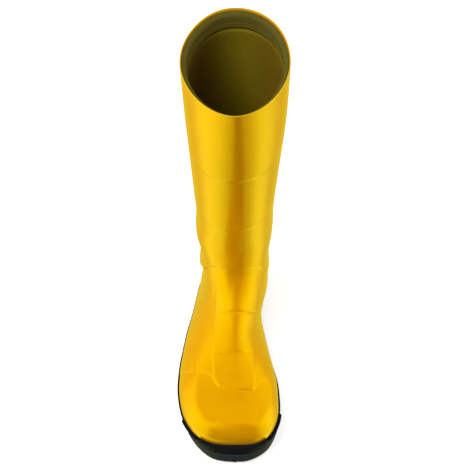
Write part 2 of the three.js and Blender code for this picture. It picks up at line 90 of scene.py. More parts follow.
def blend(a, b, t):
    """From a to b as t goes from 0 to 1: a + (b - a) t."""
    return a + (b - a) * t


def smooth(start, end, x):
    """0 before start, 1 after end, and 3t^2 - 2t^3 between, with t the share of the way."""
    t = np.clip((x - start) / (end - start), 0, 1)
    return t * t * (3 - 2 * t)


def grid_quads(rows, columns):
    """Corner numbers of the quads between neighbouring rows of a grid: (i, j), (i+1, j),
    (i+1, j+1), (i, j+1), where j+1 runs on from the last column to the first."""
    i = np.arange(rows - 1)[:, None]
    j = np.arange(columns)[None, :]
    k = (j + 1) % columns
    corners = [i * columns + j, (i + 1) * columns + j, (i + 1) * columns + k, i * columns + k]
    return np.stack(corners, -1).reshape(-1, 4)


def new_piece(name, points, quads, material, uv=None):
    """A mesh object whose points are already in the frame. uv holds one pair for each point.
    Points that fall together are merged."""
    mesh = bpy.data.meshes.new(name)
    mesh.vertices.add(len(points))
    mesh.vertices.foreach_set("co", np.asarray(points, np.float32).ravel())
    mesh.loops.add(quads.size)
    mesh.loops.foreach_set("vertex_index", quads.ravel().astype(np.int32))
    mesh.polygons.add(len(quads))
    mesh.polygons.foreach_set("loop_start", np.arange(0, quads.size, 4, dtype=np.int32))
    mesh.update(calc_edges=True)
    if uv is not None:
        layer = mesh.uv_layers.new(name="cloth")
        layer.data.foreach_set("uv", np.asarray(uv, np.float32)[quads.ravel()].ravel())
    shape = bmesh.new()
    shape.from_mesh(mesh)
    bmesh.ops.remove_doubles(shape, verts=shape.verts, dist=MERGE)
    shape.to_mesh(mesh)
    shape.free()
    mesh.shade_smooth()
    mesh.materials.append(material)
    made = bpy.data.objects.new(name, mesh)
    bpy.context.scene.collection.objects.link(made)
    print(name, len(mesh.polygons), "faces")
    return made


# %% [markdown]
# ## Materials as expressions
# A material's pattern is arithmetic on the place of a point. Writing it as Python expressions is
# easier to read than a list of nodes, so one small class wraps a socket: `+`, `-`, `*` and `/`
# add Math nodes, and its `node` method adds any other node.


# %% Shader arithmetic
class Value:
    """A socket of a node tree, or the tree alone while there is no socket yet."""

    def __init__(self, tree, socket=None):
        self.tree = tree
        self.socket = socket

    def node(self, kind, settings=(), sockets=(), output=0):
        """Adds a node: its settings are set first, then its sockets are given values or links."""
        made = self.tree.nodes.new(kind)
        for name, value in dict(settings).items():
            setattr(made, name, value)
        for name, value in dict(sockets).items():
            if isinstance(value, Value):
                self.tree.links.new(value.socket, made.inputs[name])
            else:
                made.inputs[name].default_value = value
        return Value(self.tree, made.outputs[output])

    def math(self, operation, *values):
        """One Math node on these values."""
        return self.node("ShaderNodeMath", {"operation": operation}, dict(enumerate(values)))

    def __add__(self, other):
        return self.math("ADD", self, other)

    def __sub__(self, other):
        return self.math("SUBTRACT", self, other)

    def __mul__(self, other):
        return self.math("MULTIPLY", self, other)

    def __truediv__(self, other):
        return self.math("DIVIDE", self, other)

    def __radd__(self, other):
        return self.math("ADD", other, self)

    def __rsub__(self, other):
        return self.math("SUBTRACT", other, self)

    def __rmul__(self, other):
        return self.math("MULTIPLY", other, self)

    def noise(self, size, detail=3.0, stretch=(1.0, 1.0, 1.0)):
        """Cloudy noise from 0 to 1 whose lumps are about `size` metres, stretched by axis."""
        scale = tuple(s / size for s in stretch)
        place = self.node("ShaderNodeMapping", {}, {"Vector": self, "Scale": scale})
        sockets = {"Vector": place, "Scale": 1.0, "Detail": detail}
        return self.node("ShaderNodeTexNoise", {}, sockets)

    def step(self, start, end):
        """0 below start and 1 above end, smooth between. With end below start it falls instead."""
        sockets = {"Value": self, 1: start, 2: end, 3: 0.0, 4: 1.0}
        settings = {"interpolation_type": "SMOOTHSTEP"}
        if end < start:
            sockets = {"Value": self, 1: end, 2: start, 3: 1.0, 4: 0.0}
        return self.node("ShaderNodeMapRange", settings, sockets)

    def mix(self, share, a, b):
        """Colour a where share is 0 and b where it is 1."""
        settings = {"data_type": "RGBA"}
        return self.node("ShaderNodeMix", settings, {0: share, 6: a, 7: b}, output=2)

    def bump(self, height, distance, strength=1.0):
        """The normal of a surface raised by height times distance, in metres."""
        sockets = {"Height": height, "Distance": distance, "Strength": strength}
        return self.node("ShaderNodeBump", {}, sockets)


def paint(red, green, blue):
    """A colour with its full cover."""
    return (red, green, blue, 1.0)


def new_material(name, **constants):
    """A material with the shader's constant sockets set, its empty Value and its shader node."""
    material = bpy.data.materials.new(name)
    material.use_nodes = True
    tree = material.node_tree
    shader = tree.nodes["Principled BSDF"]
    for socket, value in constants.items():
        shader.inputs[socket.replace("_", " ")].default_value = value
    return material, Value(tree), shader


def feed(shader, **values):
    """Links values to a shader's sockets by name."""
    for socket, value in values.items():
        value.tree.links.new(value.socket, shader.inputs[socket.replace("_", " ")])


def object_place(value):
    """The point's place in its object, in metres, which is its place in the frame."""
    return value.node("ShaderNodeTexCoord", {}, {}, output=3)


def parts_of(value, place):
    """The x, y and z of a place."""
    split = value.node("ShaderNodeSeparateXYZ", {}, {"Vector": place}).socket.node
    return [Value(value.tree, split.outputs[axis]) for axis in range(3)]


print("shader arithmetic is ready")

# %% [markdown]
# ## The last
# A shoemaker starts from the last, the closed form that the boot is moulded round. Here it is a
# pile of slices. Each slice runs from a point on the front line of the boot to a point on its
# back line, and the slices turn from level at the calf to upright at the toe. A table gives the
# slices at thirteen stations, and smooth curves through its columns give every slice between.
# Station columns: s, front y, front z, back y, back z, half width on the outer and inner side,
# sideways shift of the front and the back line, place of the widest point, roundness of the
# front half and of the back half.

# %% Stations of the last
STATIONS = np.array(
    [
        [0, 3, 383, 157, 409, 58.5, 58.5, 0, 0, 0.5, 1.85, 2.1],
        [8, 9, 318, 155, 330, 54.5, 56, 0, 0, 0.5, 2.05, 2.1],
        [16, 16, 255, 151, 256, 49, 49, 0, 0, 0.5, 2.15, 2.1],
        [23, 21, 200, 147, 194, 46, 45, 0, 0, 0.5, 2.2, 2.1],
        [29, 24, 160, 143, 146, 45.5, 44, 0, 0, 0.52, 2.2, 2.1],
        [34, 19, 132, 142, 104, 38.5, 40.5, 0, 0, 0.56, 2.2, 2.1],
        [39, 5, 113, 147, 64, 38, 41, 0, 0, 0.62, 2.2, 2.2],
        [43, -9, 103, 148, 34, 41, 39.5, 0, 0, 0.66, 2.2, 2.5],
        [47, -20, 96, 124, 18.3, 45, 36, 0, 0, 0.7, 2.2, 2.7],
        [52, -35, 88, 72, 18, 52, 32.5, 0, 0, 0.74, 2.2, 3.2],
        [57, -53, 79, 20, 18, 60, 38, 0, 0, 0.76, 2.2, 3.6],
        [62, -73, 71, -30, 18, 63, 47.5, 0, -2, 0.76, 2.4, 3.8],
        [67, -95, 63.5, -75, 18, 61.5, 52.5, -2, -3, 0.72, 2.9, 3.8],
    ]
)
TOE_TIP_Y, TOE_TIP_Z = -147.5, 31.0
TOE_ANGLES = np.array([24.0, 44.0, 60.0, 73.0, 83.0, 90.0])
TOE_STEP = 2.5
ANKLE_S, TOE_S = 34.0, 67.0
TIP_S = TOE_S + TOE_STEP * len(TOE_ANGLES)


def inwards(line, opposite):
    """At each point of an edge line, the unit vector across the line towards the other line."""
    before = np.vstack([line[:1], line[:-1]])
    after = np.vstack([line[1:], line[-1:]])
    normal = np.stack([before[:, 1] - after[:, 1], after[:, 0] - before[:, 0]], -1)
    normal /= np.linalg.norm(normal, axis=1, keepdims=True)
    return normal * np.sign((normal * (opposite - line)).sum(1, keepdims=True))


def slice_table():
    """The stations, then the slices that close the toe: over a quarter turn the widths shrink as
    cos^(2/3.1) and the heights as cos^(2/3.2), while the lines run forward to the tip as sin.
    Six more columns say how far each edge and half width moves for a millimetre inwards."""
    front, back = STATIONS[:, 1:3], STATIONS[:, 3:5]
    sides = np.ones((len(STATIONS), 2))
    leg = np.hstack([STATIONS, inwards(front, back), inwards(back, front), sides])
    base = leg[-1]
    along = np.sin(np.radians(TOE_ANGLES))
    left = np.maximum(np.cos(np.radians(TOE_ANGLES)), 0)
    wide, high, forward = left ** (2 / 3.1), left ** (2 / 3.2), along**1.15
    top = high * (1 - 0.1 * along)
    columns = [
        TOE_S + TOE_STEP * np.arange(1, len(TOE_ANGLES) + 1),
        blend(base[1], TOE_TIP_Y, forward),
        blend(TOE_TIP_Z, base[2], top),
        blend(base[3], TOE_TIP_Y, along),
        blend(TOE_TIP_Z, base[4], high),
        base[5] * wide,
        base[6] * wide * (1 + 0.04 * along),
        base[7] + 3 * along,
        base[8] + 4 * along,
        blend(base[9], 0.55, along),
        blend(base[10], 2.6, along),
        blend(base[11], 2.6, along),
        blend(base[12], 1.0, forward),
        base[13] * top,
        blend(base[14], 1.0, along),
        base[15] * high,
        wide,
        wide,
    ]
    return np.vstack([leg, np.stack(columns, -1)])


SLICES = slice_table()
print("slices in the table", len(SLICES))


# %% Read the slices
def slice_slopes():
    """The slope of each column at each slice: the mean of the chords on either side, weighted by
    the nearer one, and at most three times the flatter chord so that the curve never overshoots."""
    span = np.diff(SLICES[:, 0])[:, None]
    chord = np.diff(SLICES, axis=0) / span
    before, after = chord[:-1], chord[1:]
    mean = (before * span[1:] + after * span[:-1]) / (span[1:] + span[:-1])
    limit = 3 * np.minimum(np.abs(before), np.abs(after))
    held = np.sign(mean) * np.minimum(np.abs(mean), limit)
    inside = np.where(before * after < 0, mean, held)
    first = 1.5 * chord[:1] - 0.5 * inside[:1]
    last = 1.5 * chord[-1:] - 0.5 * inside[-1:]
    return np.vstack([first, inside, last])


SLOPES = slice_slopes()


def read_slices(s):
    """Every column at s, by the cubic through the two nearest slices and their slopes."""
    s = np.asarray(s, float)
    i = np.clip(np.searchsorted(SLICES[:, 0], s, side="right") - 1, 0, len(SLICES) - 2)
    span = (SLICES[i + 1, 0] - SLICES[i, 0])[..., None]
    t = (s[..., None] - SLICES[i, :1]) / span
    here = (2 * t**3 - 3 * t**2 + 1) * SLICES[i] + (t**3 - 2 * t**2 + t) * span * SLOPES[i]
    return here + (3 * t**2 - 2 * t**3) * SLICES[i + 1] + (t**3 - t**2) * span * SLOPES[i + 1]


# Places where the moulded skin is fuller or leaner than its slices: s, degrees round from the
# front, spread in s, spread in degrees, millimetres outwards.
FULLNESS = [
    (1.0, -135.0, 6.0, 30.0, -2.8),
    (16.0, -90.0, 5.0, 40.0, 1.0),
    (16.0, 90.0, 5.0, 40.0, 1.2),
    (24.5, -90.0, 2.0, 40.0, -1.2),
    (30.0, 90.0, 2.5, 40.0, 0.2),
    (37.0, -85.0, 3.0, 40.0, 2.6),
    (44.5, 90.0, 2.6, 40.0, 1.8),
]


def last_points(s, turn, depth=0.0):
    """Points on the last, `depth` millimetres inside it. A slice is two half super-ellipses that
    meet at its widest point: r = (|cos|^n + |sin|^n)^(-1/n), with its own n for each half."""
    s, turn = np.broadcast_arrays(np.asarray(s, float), np.asarray(turn, float))
    degrees = np.degrees((turn + np.pi) % (2 * np.pi) - np.pi)
    for at_s, at_turn, wide_s, wide_turn, out in FULLNESS:
        away = (degrees - at_turn + 180) % 360 - 180
        depth = depth - out * np.exp(-(((s - at_s) / wide_s) ** 2) - (away / wide_turn) ** 2)
    column = np.moveaxis(read_slices(s), -1, 0)
    front_y, front_z, back_y, back_z = (column[i] + depth * column[i + 11] for i in (1, 2, 3, 4))
    outer = np.maximum(column[5] - depth * column[16], 0)
    inner = np.maximum(column[6] - depth * column[17], 0)
    cos, sin = np.cos(turn), np.sin(turn)
    n = np.where(cos >= 0, column[10], column[11])
    r = (np.abs(cos) ** n + np.abs(sin) ** n) ** (-1 / n)
    widest = column[9]
    t = np.where(cos >= 0, widest * (1 - r * cos), widest - (1 - widest) * r * cos)
    half = np.where(sin >= 0, inner, outer)
    x = blend(column[7], column[8], t) + half * r * sin
    return np.stack([x, blend(front_y, back_y, t), blend(front_z, back_z, t)], -1)


def outward(points):
    """Unit normals of a grid of points, from the cross product of its two directions."""
    round_it = np.roll(points, -1, 1) - np.roll(points, 1, 1)
    along = np.gradient(points, axis=0)
    normal = np.cross(along, round_it)
    return normal / np.maximum(np.linalg.norm(normal, axis=-1, keepdims=True), 1e-9)


print("tip of the toe", np.round(last_points(TIP_S, 0.0), 1))

# %% [markdown]
# ## The yellow finish
# The upper is polyurethane with a satin skin straight from a polished mould. Its colour is nearly
# even, its gloss is tinted by the pigment under it, and at arm's length one sees only a faint
# waviness and the fine grain of the mould. A clear coat would be too glassy, so the shader's own
# gloss is used with a yellow tint, and noise moves its roughness and its normal a little. Along the
# top of the mouth the colour is painted paler: a painted highlight for the light that falls on the
# up-facing rim. The mouth is a tilted plane, so the rim is found by its height over that plane.

# %% Yellow polyurethane
yellow, value, shader = new_material(
    "yellow_polyurethane",
    IOR=1.65,
    Specular_IOR_Level=1.0,
    Specular_Tint=paint(1.0, 0.95, 0.0),
)
place = object_place(value)
cloud = place.noise(0.06, 4.0)
grain = place.noise(0.0009, 2.0)
wave = place.noise(0.025, 2.0)
deep = paint(0.72, 0.290, 0.0)
bright = paint(0.77, 0.325, 0.0)
x, y, z = parts_of(value, place)
mouth_front = in_frame([0, *STATIONS[0, 1:3]])
mouth_back = in_frame([0, *STATIONS[0, 3:5]])
mouth_slope = (mouth_back[2] - mouth_front[2]) / (mouth_back[1] - mouth_front[1])
mouth = (y - float(mouth_front[1])) * float(mouth_slope) + float(mouth_front[2])
# Painted highlight: the colour turns paler along the top of the mouth, for the light on the
# up-facing rim.
painted_rim_highlight = (z - mouth).step(-0.0012, -0.0002)
skin_colour = value.mix(cloud.step(0.3, 0.7), deep, bright)
feed(
    shader,
    Base_Color=value.mix(painted_rim_highlight, skin_colour, paint(0.80, 0.52, 0.04)),
    Roughness=cloud * 0.05 + grain * 0.03 + 0.18,
    Normal=value.bump(grain * 0.000008 + wave * 0.0003, 1.0, 0.6),
)
print("made", yellow.name)

# %% [markdown]
# ## Lines moulded into the upper
# The skin carries low lines: beads across the shin, the end of the leg sleeve above the ankle, a
# raised panel over the instep with two grooves for it to bend at, the edge of the toe cover and a
# soft rim round the flat top of the toe. Each is a line on the last, given by s and by degrees
# round from the front. A point's height above the skin depends on its distance from the line, so
# the relief is real geometry and casts its own small shadows.

# %% Lines on the last
SHIN_LINES = [
    [(10.0, -80), (11.4, -50), (12.1, -38), (12.1, 0), (11.8, 37), (11.3, 50), (10.0, 80)],
    [(20.8, -80), (22.0, -45), (22.4, -30), (22.6, 0), (22.3, 22), (21.8, 36), (20.6, 80)],
]
SLEEVE_END = [
    *[(41.5, -180), (41.2, -150), (40.2, -115), (38.2, -80), (36.2, -60), (33.3, -42)],
    *[(32.6, -30), (32.5, 0), (32.6, 28), (33.0, 40), (36.9, 57), (39.0, 80), (40.6, 115)],
    *[(41.3, 150), (41.5, 180)],
]
PANEL_LEFT = [(34.5, -34), (40.0, -34), (47.8, -32), (56.3, -25), (65.8, -20)]
PANEL_RIGHT = [(34.5, 38), (40.0, 39), (47.0, 38), (57.6, 34), (61.7, 27), (66.8, 25)]
BEND_GROOVES = [
    [(44.2, -23), (43.5, -10), (43.3, 5), (44.3, 25), (45.6, 36)],
    [(57.0, -16), (56.8, 0), (56.9, 26)],
]
COVER_EDGE = [
    *[(63.2, -112), (62.7, -85), (62.4, -64), (62.2, -47), (62.6, -26), (66.2, -16)],
    *[(66.8, 4), (67.0, 25), (64.6, 33), (64.3, 53), (64.6, 80), (65.0, 112)],
]
SIDE_GROOVE = [(57.8, -50), (62.1, -46)]
TOE_RIM = [
    *[(63.6, -40), (66.7, -38), (69.4, -41), (72.0, -40), (73.1, -33), (73.4, 0)],
    *[(73.0, 35), (71.4, 42), (67.9, 49), (64.8, 47)],
]
BACK_SEAM = [(2.0, 180), (20.0, 180), (40.0, 180)]


def along_line(pairs, step=0.5):
    """Closely spaced (s, degrees) pairs along a line that is given by a few."""
    pairs = np.array(pairs, float)
    reach = np.abs(np.diff(pairs, axis=0) * [1.0, 0.12]).sum(1)
    at = np.concatenate([[0], np.cumsum(reach)])
    fine = np.linspace(0, at[-1], max(int(at[-1] / step), 8))
    return np.interp(fine, at, pairs[:, 0]), np.interp(fine, at, pairs[:, 1])


def from_line(points, pairs):
    """Distance in millimetres from every point to a line on the last: to each straight piece
    from a to b it is the distance to a + t (b - a), with t held to 0..1, and the least counts."""
    s, degrees = along_line(pairs)
    line = last_points(s, np.radians(degrees))
    flat = points.reshape(-1, 3)
    least = np.full(len(flat), np.inf)
    for a, b in zip(line[:-1], line[1:]):
        piece = b - a
        t = np.clip((flat - a) @ piece / (piece @ piece), 0, 1)
        least = np.minimum(least, np.linalg.norm(flat - a - t[:, None] * piece, axis=1))
    return least.reshape(points.shape[:-1])


def s_of_line(pairs, degrees):
    """The s at which a line that runs across the boot passes these degrees."""
    s, at = along_line(pairs)
    return np.interp(degrees, at, s)


print("relief lines", len(SHIN_LINES) + len(BEND_GROOVES) + 7)


# %% Heights of the relief
def bead(distance, height, width):
    """A low round rib: height times e^-(distance / width)^2. A negative height cuts a groove."""
    return height * np.exp(-((distance / width) ** 2))


def ledge(distance, side, height, ramp, reach):
    """A step: side is +1 on the proud side and -1 on the other. It rises over the ramp, and dies
    away again over the reach behind it."""
    rise = smooth(-ramp / 2, ramp / 2, distance * side)
    return height * rise * np.exp(-distance / reach)


# A bead's height and width, and a ledge's height, ramp and reach, in millimetres.
SHIN_BEAD, SHIN_LEDGE = (0.22, 1.5), (0.4, 2.4, 20.0)
SLEEVE_BEAD, SLEEVE_RAMP, SLEEVE_REACH = (0.15, 1.8), 2.4, 40.0
SLEEVE_PROUD, SLEEVE_OUTER, SLEEVE_INNER = 0.7, 2.4, 0.2
PANEL_PROUD, PANEL_RAMP = 0.7, 1.3
BEND_GROOVE, SIDE_DENT = (-0.8, 1.5), (-0.6, 1.3)
COVER_LEDGE, COVER_GROOVE = (0.5, 2.6, 25.0), (-0.15, 1.3)
RIM_BEAD, SEAM_BEAD = (1.5, 6.5), (0.5, 1.4)


def relief(points, s, turn):
    """Millimetres that the moulded skin stands proud of the last."""
    degrees = np.degrees((turn + np.pi) % (2 * np.pi) - np.pi)
    total = np.zeros(np.broadcast(s, turn).shape)
    for line in SHIN_LINES:
        distance = from_line(points, line)
        above = np.sign(s_of_line(line, degrees) - s)
        within = 1 - smooth(58, 85, np.abs(degrees))
        total += within * (bead(distance, *SHIN_BEAD) + ledge(distance, above, *SHIN_LEDGE))

    distance = from_line(points, SLEEVE_END)
    above = np.sign(s_of_line(SLEEVE_END, degrees) - s)
    side = np.sin(np.radians(degrees))
    proud = SLEEVE_PROUD + np.where(side < 0, SLEEVE_OUTER, SLEEVE_INNER) * side**2
    total += ledge(distance, above, proud, SLEEVE_RAMP, SLEEVE_REACH)
    total += bead(distance, *SLEEVE_BEAD)

    cover = from_line(points, COVER_EDGE)
    behind = np.sign(s_of_line(COVER_EDGE, degrees) - s)
    total += ledge(cover, behind, *COVER_LEDGE) + bead(cover, *COVER_GROOVE)

    left = np.interp(s, *np.array(PANEL_LEFT, float).T)
    right = np.interp(s, *np.array(PANEL_RIGHT, float).T)
    edge = np.minimum(from_line(points, PANEL_LEFT), from_line(points, PANEL_RIGHT))
    inside = np.sign((degrees - left) * (right - degrees))
    length = smooth(33.5, 36.5, s) * smooth(-1.0, 2.2, cover * behind)
    total += length * PANEL_PROUD * smooth(-PANEL_RAMP, PANEL_RAMP, edge * inside)

    beads = [(line, BEND_GROOVE) for line in BEND_GROOVES]
    beads += [(SIDE_GROOVE, SIDE_DENT), (TOE_RIM, RIM_BEAD), (BACK_SEAM, SEAM_BEAD)]
    for line, shape in beads:
        total += bead(from_line(points, line), *shape)
    return total


# %% [markdown]
# ## The upper
# On a real boot the upper is one moulding about 4 mm thick, thinner and rounded at the topline.
# It could be a subdivided cage with creases, but the lines above cross it at odd angles. A fine
# grid over the last takes them all, so the outside is a grid of slices, the inside a coarser one,
# and a round rim joins them. The grid is denser in front, where the lines are.

# %% Upper
WALL = 4.0
RIM_WALL = 1.1
COLUMNS = 208
TURN_DENSER_IN_FRONT = 0.35


def turns(count):
    """Angles round a slice, closer together at the front: u - 0.35 sin u, for u evenly spaced."""
    u = 2 * np.pi * np.arange(count) / count
    return u - TURN_DENSER_IN_FRONT * np.sin(u)


def spaced(stops, counts):
    """Values that run evenly from each stop to the next, with the given number of steps."""
    runs = [np.linspace(a, b, n, endpoint=False) for a, b, n in zip(stops, stops[1:], counts)]
    return np.concatenate([*runs, stops[-1:]])


def wall_at(s):
    """Thickness of the upper: thin at the rim and full a little below it."""
    return blend(RIM_WALL, WALL, smooth(0, 1.6, s))


def closed_shell(inside, rim, outside):
    """One grid that runs up the inside from its far end, over the rim and down the outside."""
    return np.concatenate([inside[::-1], rim, outside])


RIM_S = 0.14
turn = turns(COLUMNS)[None, :]
s_out = spaced([RIM_S, 34.0, 47.0, 62.0, 75.0, TIP_S], [164, 72, 64, 62, 22])[:, None]
skin = last_points(s_out, turn)
skin = skin + outward(skin) * relief(skin, s_out, turn)[..., None]
s_in = spaced([RIM_S, 34.0, 67.0, TIP_S], [24, 24, 12])[:, None]
hollow = last_points(s_in, turn, wall_at(s_in))
over = np.linspace(0, np.pi, 7)[1:-1][:, None]
rim = blend(hollow[:1], skin[:1], ((1 - np.cos(over)) / 2)[..., None])
top = last_points(0.0, turn)
up = (top - skin[0]) / np.linalg.norm(top - skin[0], axis=-1, keepdims=True)
rim = rim + up * (RIM_WALL / 2 * np.sin(over))[..., None]
points = closed_shell(hollow, rim, skin)
upper = new_piece("boot_upper", listed(points), grid_quads(len(points), COLUMNS), yellow)
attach(upper, "boot")
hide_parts("upper_shell")

# %% [markdown]
# ## Outlines of the sole
# The sole is drawn as its plan outline, a closed smooth curve through eighteen points, and the
# upper's own outline at each height comes from the last. Both are given as the same number of
# points, from the toe along the outer side to the heel and back along the inner side, so that a
# profile can be carried round them and each of its points knows where the upper is.

# %% Outline helpers
SOLE_POINTS = np.array(
    [
        *[(0, -152.5), (-28, -146.5), (-50, -121), (-62.5, -83), (-67, -38), (-60, 10)],
        *[(-48.5, 60), (-43, 112), (-27, 145), (0, 152.5), (25.5, 145), (37.5, 112)],
        *[(31.8, 60), (35.5, 10), (49.0, -40), (52.5, -90), (41, -130), (22, -148)],
    ],
    float,
)
SIDE_COUNT = 160


def even_share(count, start=0.0, end=1.0):
    """Shares of the way from toe to heel, closer together at the toe: 0.5 q + 0.5 q^2."""
    q = np.linspace(start, end, count)
    return 0.5 * q + 0.5 * q * q


def spread(line, shares):
    """Points at these shares of a line's length."""
    reach = np.concatenate([[0], np.cumsum(np.linalg.norm(np.diff(line, axis=0), axis=1))])
    at = np.asarray(shares) * reach[-1]
    return np.stack([np.interp(at, reach, line[:, axis]) for axis in range(line.shape[1])], -1)


def both_sides(outer, inner):
    """A closed outline: the outer side from toe to heel, then the inner side from heel to toe.
    Both lines are given from toe to heel, and share their two ends."""
    shares = even_share(SIDE_COUNT + 1)
    return np.concatenate([spread(outer, shares)[:-1], spread(inner, shares)[:0:-1]])


def smooth_outline():
    """The sole's outline: between two points it is the cubic through them whose slope at each is
    half the way from the point before to the point after."""
    p = SOLE_POINTS
    before, after, later = (np.roll(p, shift, 0) for shift in (1, -1, -2))
    t = np.linspace(0, 1, 40, endpoint=False)[:, None, None]
    curve = 0.5 * (
        2 * p
        + (after - before) * t
        + (2 * before - 5 * p + 4 * after - later) * t**2
        + (3 * p - before - 3 * after + later) * t**3
    )
    line = curve.transpose(1, 0, 2).reshape(-1, 2)
    heel = len(line) // 2
    return both_sides(line[: heel + 1], np.vstack([line[heel:], line[:1]])[::-1])


def last_outline(z, depth):
    """Outline of the last at height z, `depth` inside it, where depth may be a function of s. On
    the slice at s that height is the share t of the way from its front line to its back line, and
    the half width there is (1 - |1 - t / widest|^n)^(1/n), with the same form behind the widest
    point."""
    s = np.linspace(ANKLE_S, TIP_S, 3000)
    column = read_slices(s).T
    depth = depth(s) if callable(depth) else np.full(len(s), depth)
    front_y, front_z, back_y, back_z = (column[i] + depth * column[i + 11] for i in (1, 2, 3, 4))
    t = (z - front_z) / np.where(np.abs(back_z - front_z) < 1e-9, 1e-9, back_z - front_z)
    kept = (t >= 0) & (t <= 1)
    column, front_y, back_y = column[:, kept], front_y[kept], back_y[kept]
    t, depth = t[kept], depth[kept]
    widest = column[9]
    ahead = t < widest
    share = np.where(ahead, 1 - t / widest, (t - widest) / (1 - widest))
    n = np.where(ahead, column[10], column[11])
    half = np.maximum(1 - share**n, 0) ** (1 / n)
    middle = blend(column[7], column[8], t)
    y = blend(front_y, back_y, t)
    sides = []
    for sign, width, way in ((-1, column[5], column[16]), (1, column[6], column[17])):
        line = np.stack([middle + sign * half * np.maximum(width - depth * way, 0), y], -1)
        ends = np.stack([middle, y], -1)
        line = np.vstack([ends[:1], line, ends[-1:]])[::-1]
        sides.append(line)
    return both_sides(*sides)


def moved_in(line, inset):
    """A closed outline moved inwards, along the normals to its tangents."""
    along = np.roll(line, -1, 0) - np.roll(line, 1, 0)
    along /= np.maximum(np.linalg.norm(along, axis=1, keepdims=True), 1e-9)
    inward = np.stack([along[:, 1], -along[:, 0]], -1)
    return line + inward * np.broadcast_to(inset, len(line))[:, None]


def middle_line(line):
    """For each point of an outline, the point halfway to its partner on the other side."""
    partner = np.roll(line[::-1], 1, 0)
    return (line + partner) / 2


OUTLINE = smooth_outline()
LEVELS = np.arange(18.6, 38.0, 1.2)
HUGGING = np.stack([last_outline(z, -0.25) for z in LEVELS])


def hugging(z):
    """The upper's outline at each column's own height z, straight between the nearest levels."""
    z = np.broadcast_to(z, len(OUTLINE))
    place = np.clip((z - LEVELS[0]) / (LEVELS[1] - LEVELS[0]), 0, None)
    i = np.minimum(place.astype(int), len(LEVELS) - 2)
    columns = np.arange(len(OUTLINE))
    return blend(HUGGING[i, columns], HUGGING[i + 1, columns], (place - i)[:, None])


def at_height(line, z):
    """A plan outline as points at these heights."""
    return np.column_stack([line, np.broadcast_to(z, len(line))])


print("outline of the sole", np.round(np.ptp(OUTLINE, axis=0), 1), "mm")

# %% [markdown]
# ## The black sole
# The sole body is a cup of black rubber-like foam that is moulded on to the foot of the upper. A
# dark grey band runs low round it and stands out a little; its grey is partly the band's own colour
# and partly a painted reflection. Over the toes the cup rises to a bumper whose level top ends in
# two small horns. Beside the toes the wall is thicker, as far back as a small notch on either side,
# and along the inner waist it is thin. It could be cut from a block, but its wall has one profile
# all the way round that only changes in height, so that profile is carried round the outline.

# %% Black sole finish
sole_black, value, shader = new_material("sole_black", IOR=1.3, Specular_IOR_Level=0.03)
place = object_place(value)
x, y, z = parts_of(value, place)
cloud = place.noise(0.05, 3.0)
grain = place.noise(0.0008, 2.0)
# The grey of the low band is partly its own colour and partly a painted reflection.
band_and_sheen = z.step(0.0195, 0.018)
dark = value.mix(cloud, paint(0.0060, 0.0082, 0.0125), paint(0.0095, 0.0122, 0.0170))
grey_and_sheen = value.mix(cloud, paint(0.028, 0.040, 0.050), paint(0.038, 0.052, 0.062))
feed(
    shader,
    Base_Color=value.mix(band_and_sheen, dark, grey_and_sheen),
    Roughness=cloud * 0.1 + grain * 0.08 + 0.5,
    Normal=value.bump(grain, 0.00006, 0.7),
)
print("made", sole_black.name)

# %% Height of the sole's wall
WALL_TOP = np.array([(-170, 27), (-110, 28.5), (-60, 28), (0, 26), (60, 27), (110, 30), (170, 30)])
BUMPER = (-38.5, 34.0)
BUMPER_TOP = 32.6
HORN_IN, DIP_OUT = 1.5, 3.4
HORN, OUTER_DIP, INNER_DIP = (0.9, 2.2), (2.2, 2.0), (2.4, 2.0)
BUMPER_BACK_Y = -100
WAIST_FROM, WAIST_TO = (-55, -20), (110, 135)
WING_BACK_Y = {"outer": -107.0, "inner": -101.0}
MIDSOLE_BOTTOM = 8.8
BAND_TOP = 18.5

middle = middle_line(OUTLINE)
outer_side = OUTLINE[:, 0] < middle[:, 0]
wing_y = np.where(outer_side, WING_BACK_Y["outer"], WING_BACK_Y["inner"])
wing = 1 - smooth(-1.5, 1.5, OUTLINE[:, 1] - wing_y)
waist = smooth(*WAIST_FROM, OUTLINE[:, 1]) * (1 - smooth(*WAIST_TO, OUTLINE[:, 1])) * ~outer_side
low_top = np.interp(OUTLINE[:, 1], *WALL_TOP.T)
across = hugging(30.0)[:, 0]
on_bumper = smooth(BUMPER[0] - 1.5, BUMPER[0] + 1.0, across)
on_bumper *= 1 - smooth(BUMPER[1] - 1.0, BUMPER[1] + 1.5, across)
on_bumper *= OUTLINE[:, 1] < BUMPER_BACK_Y
horn = bead(across - BUMPER[0] - HORN_IN, *HORN) + bead(across - BUMPER[1] + HORN_IN, *HORN)
dip = bead(across - BUMPER[0] + DIP_OUT, *OUTER_DIP)
dip = dip + bead(across - BUMPER[1] - DIP_OUT, *INNER_DIP)
dip *= OUTLINE[:, 1] < BUMPER_BACK_Y
wall_top = blend(low_top + 0.8 * wing, BUMPER_TOP + horn, on_bumper) - dip
print("wall is", round(float(wall_top.min()), 1), "to", round(float(wall_top.max()), 1), "mm high")

# %% Kick ledge at the heel
LEDGE_OUT = 4.0
LEDGE_HALF_WIDTH = 20.0
LEDGE_Z = (18.0, 27.0)


def kick_ledge(z):
    """How far the ledge stands out at height z: full over its width and height, with soft ends."""
    behind = OUTLINE[:, 1] > 0
    width = 1 - smooth(LEDGE_HALF_WIDTH - 2, LEDGE_HALF_WIDTH + 1, np.abs(OUTLINE[:, 0]))
    height = smooth(LEDGE_Z[0] - 0.6, LEDGE_Z[0] + 0.6, z) * (
        1 - smooth(LEDGE_Z[1] - 0.6, LEDGE_Z[1] + 0.6, z)
    )
    return LEDGE_OUT * behind * width * height


# %% Sole body
BOTTOM_INSET = 1.6
WALL_OUT = 2.3
THICKER_WING, THINNER_WAIST = 0.9, 0.75
NOTCH = (1.5, 1.4)


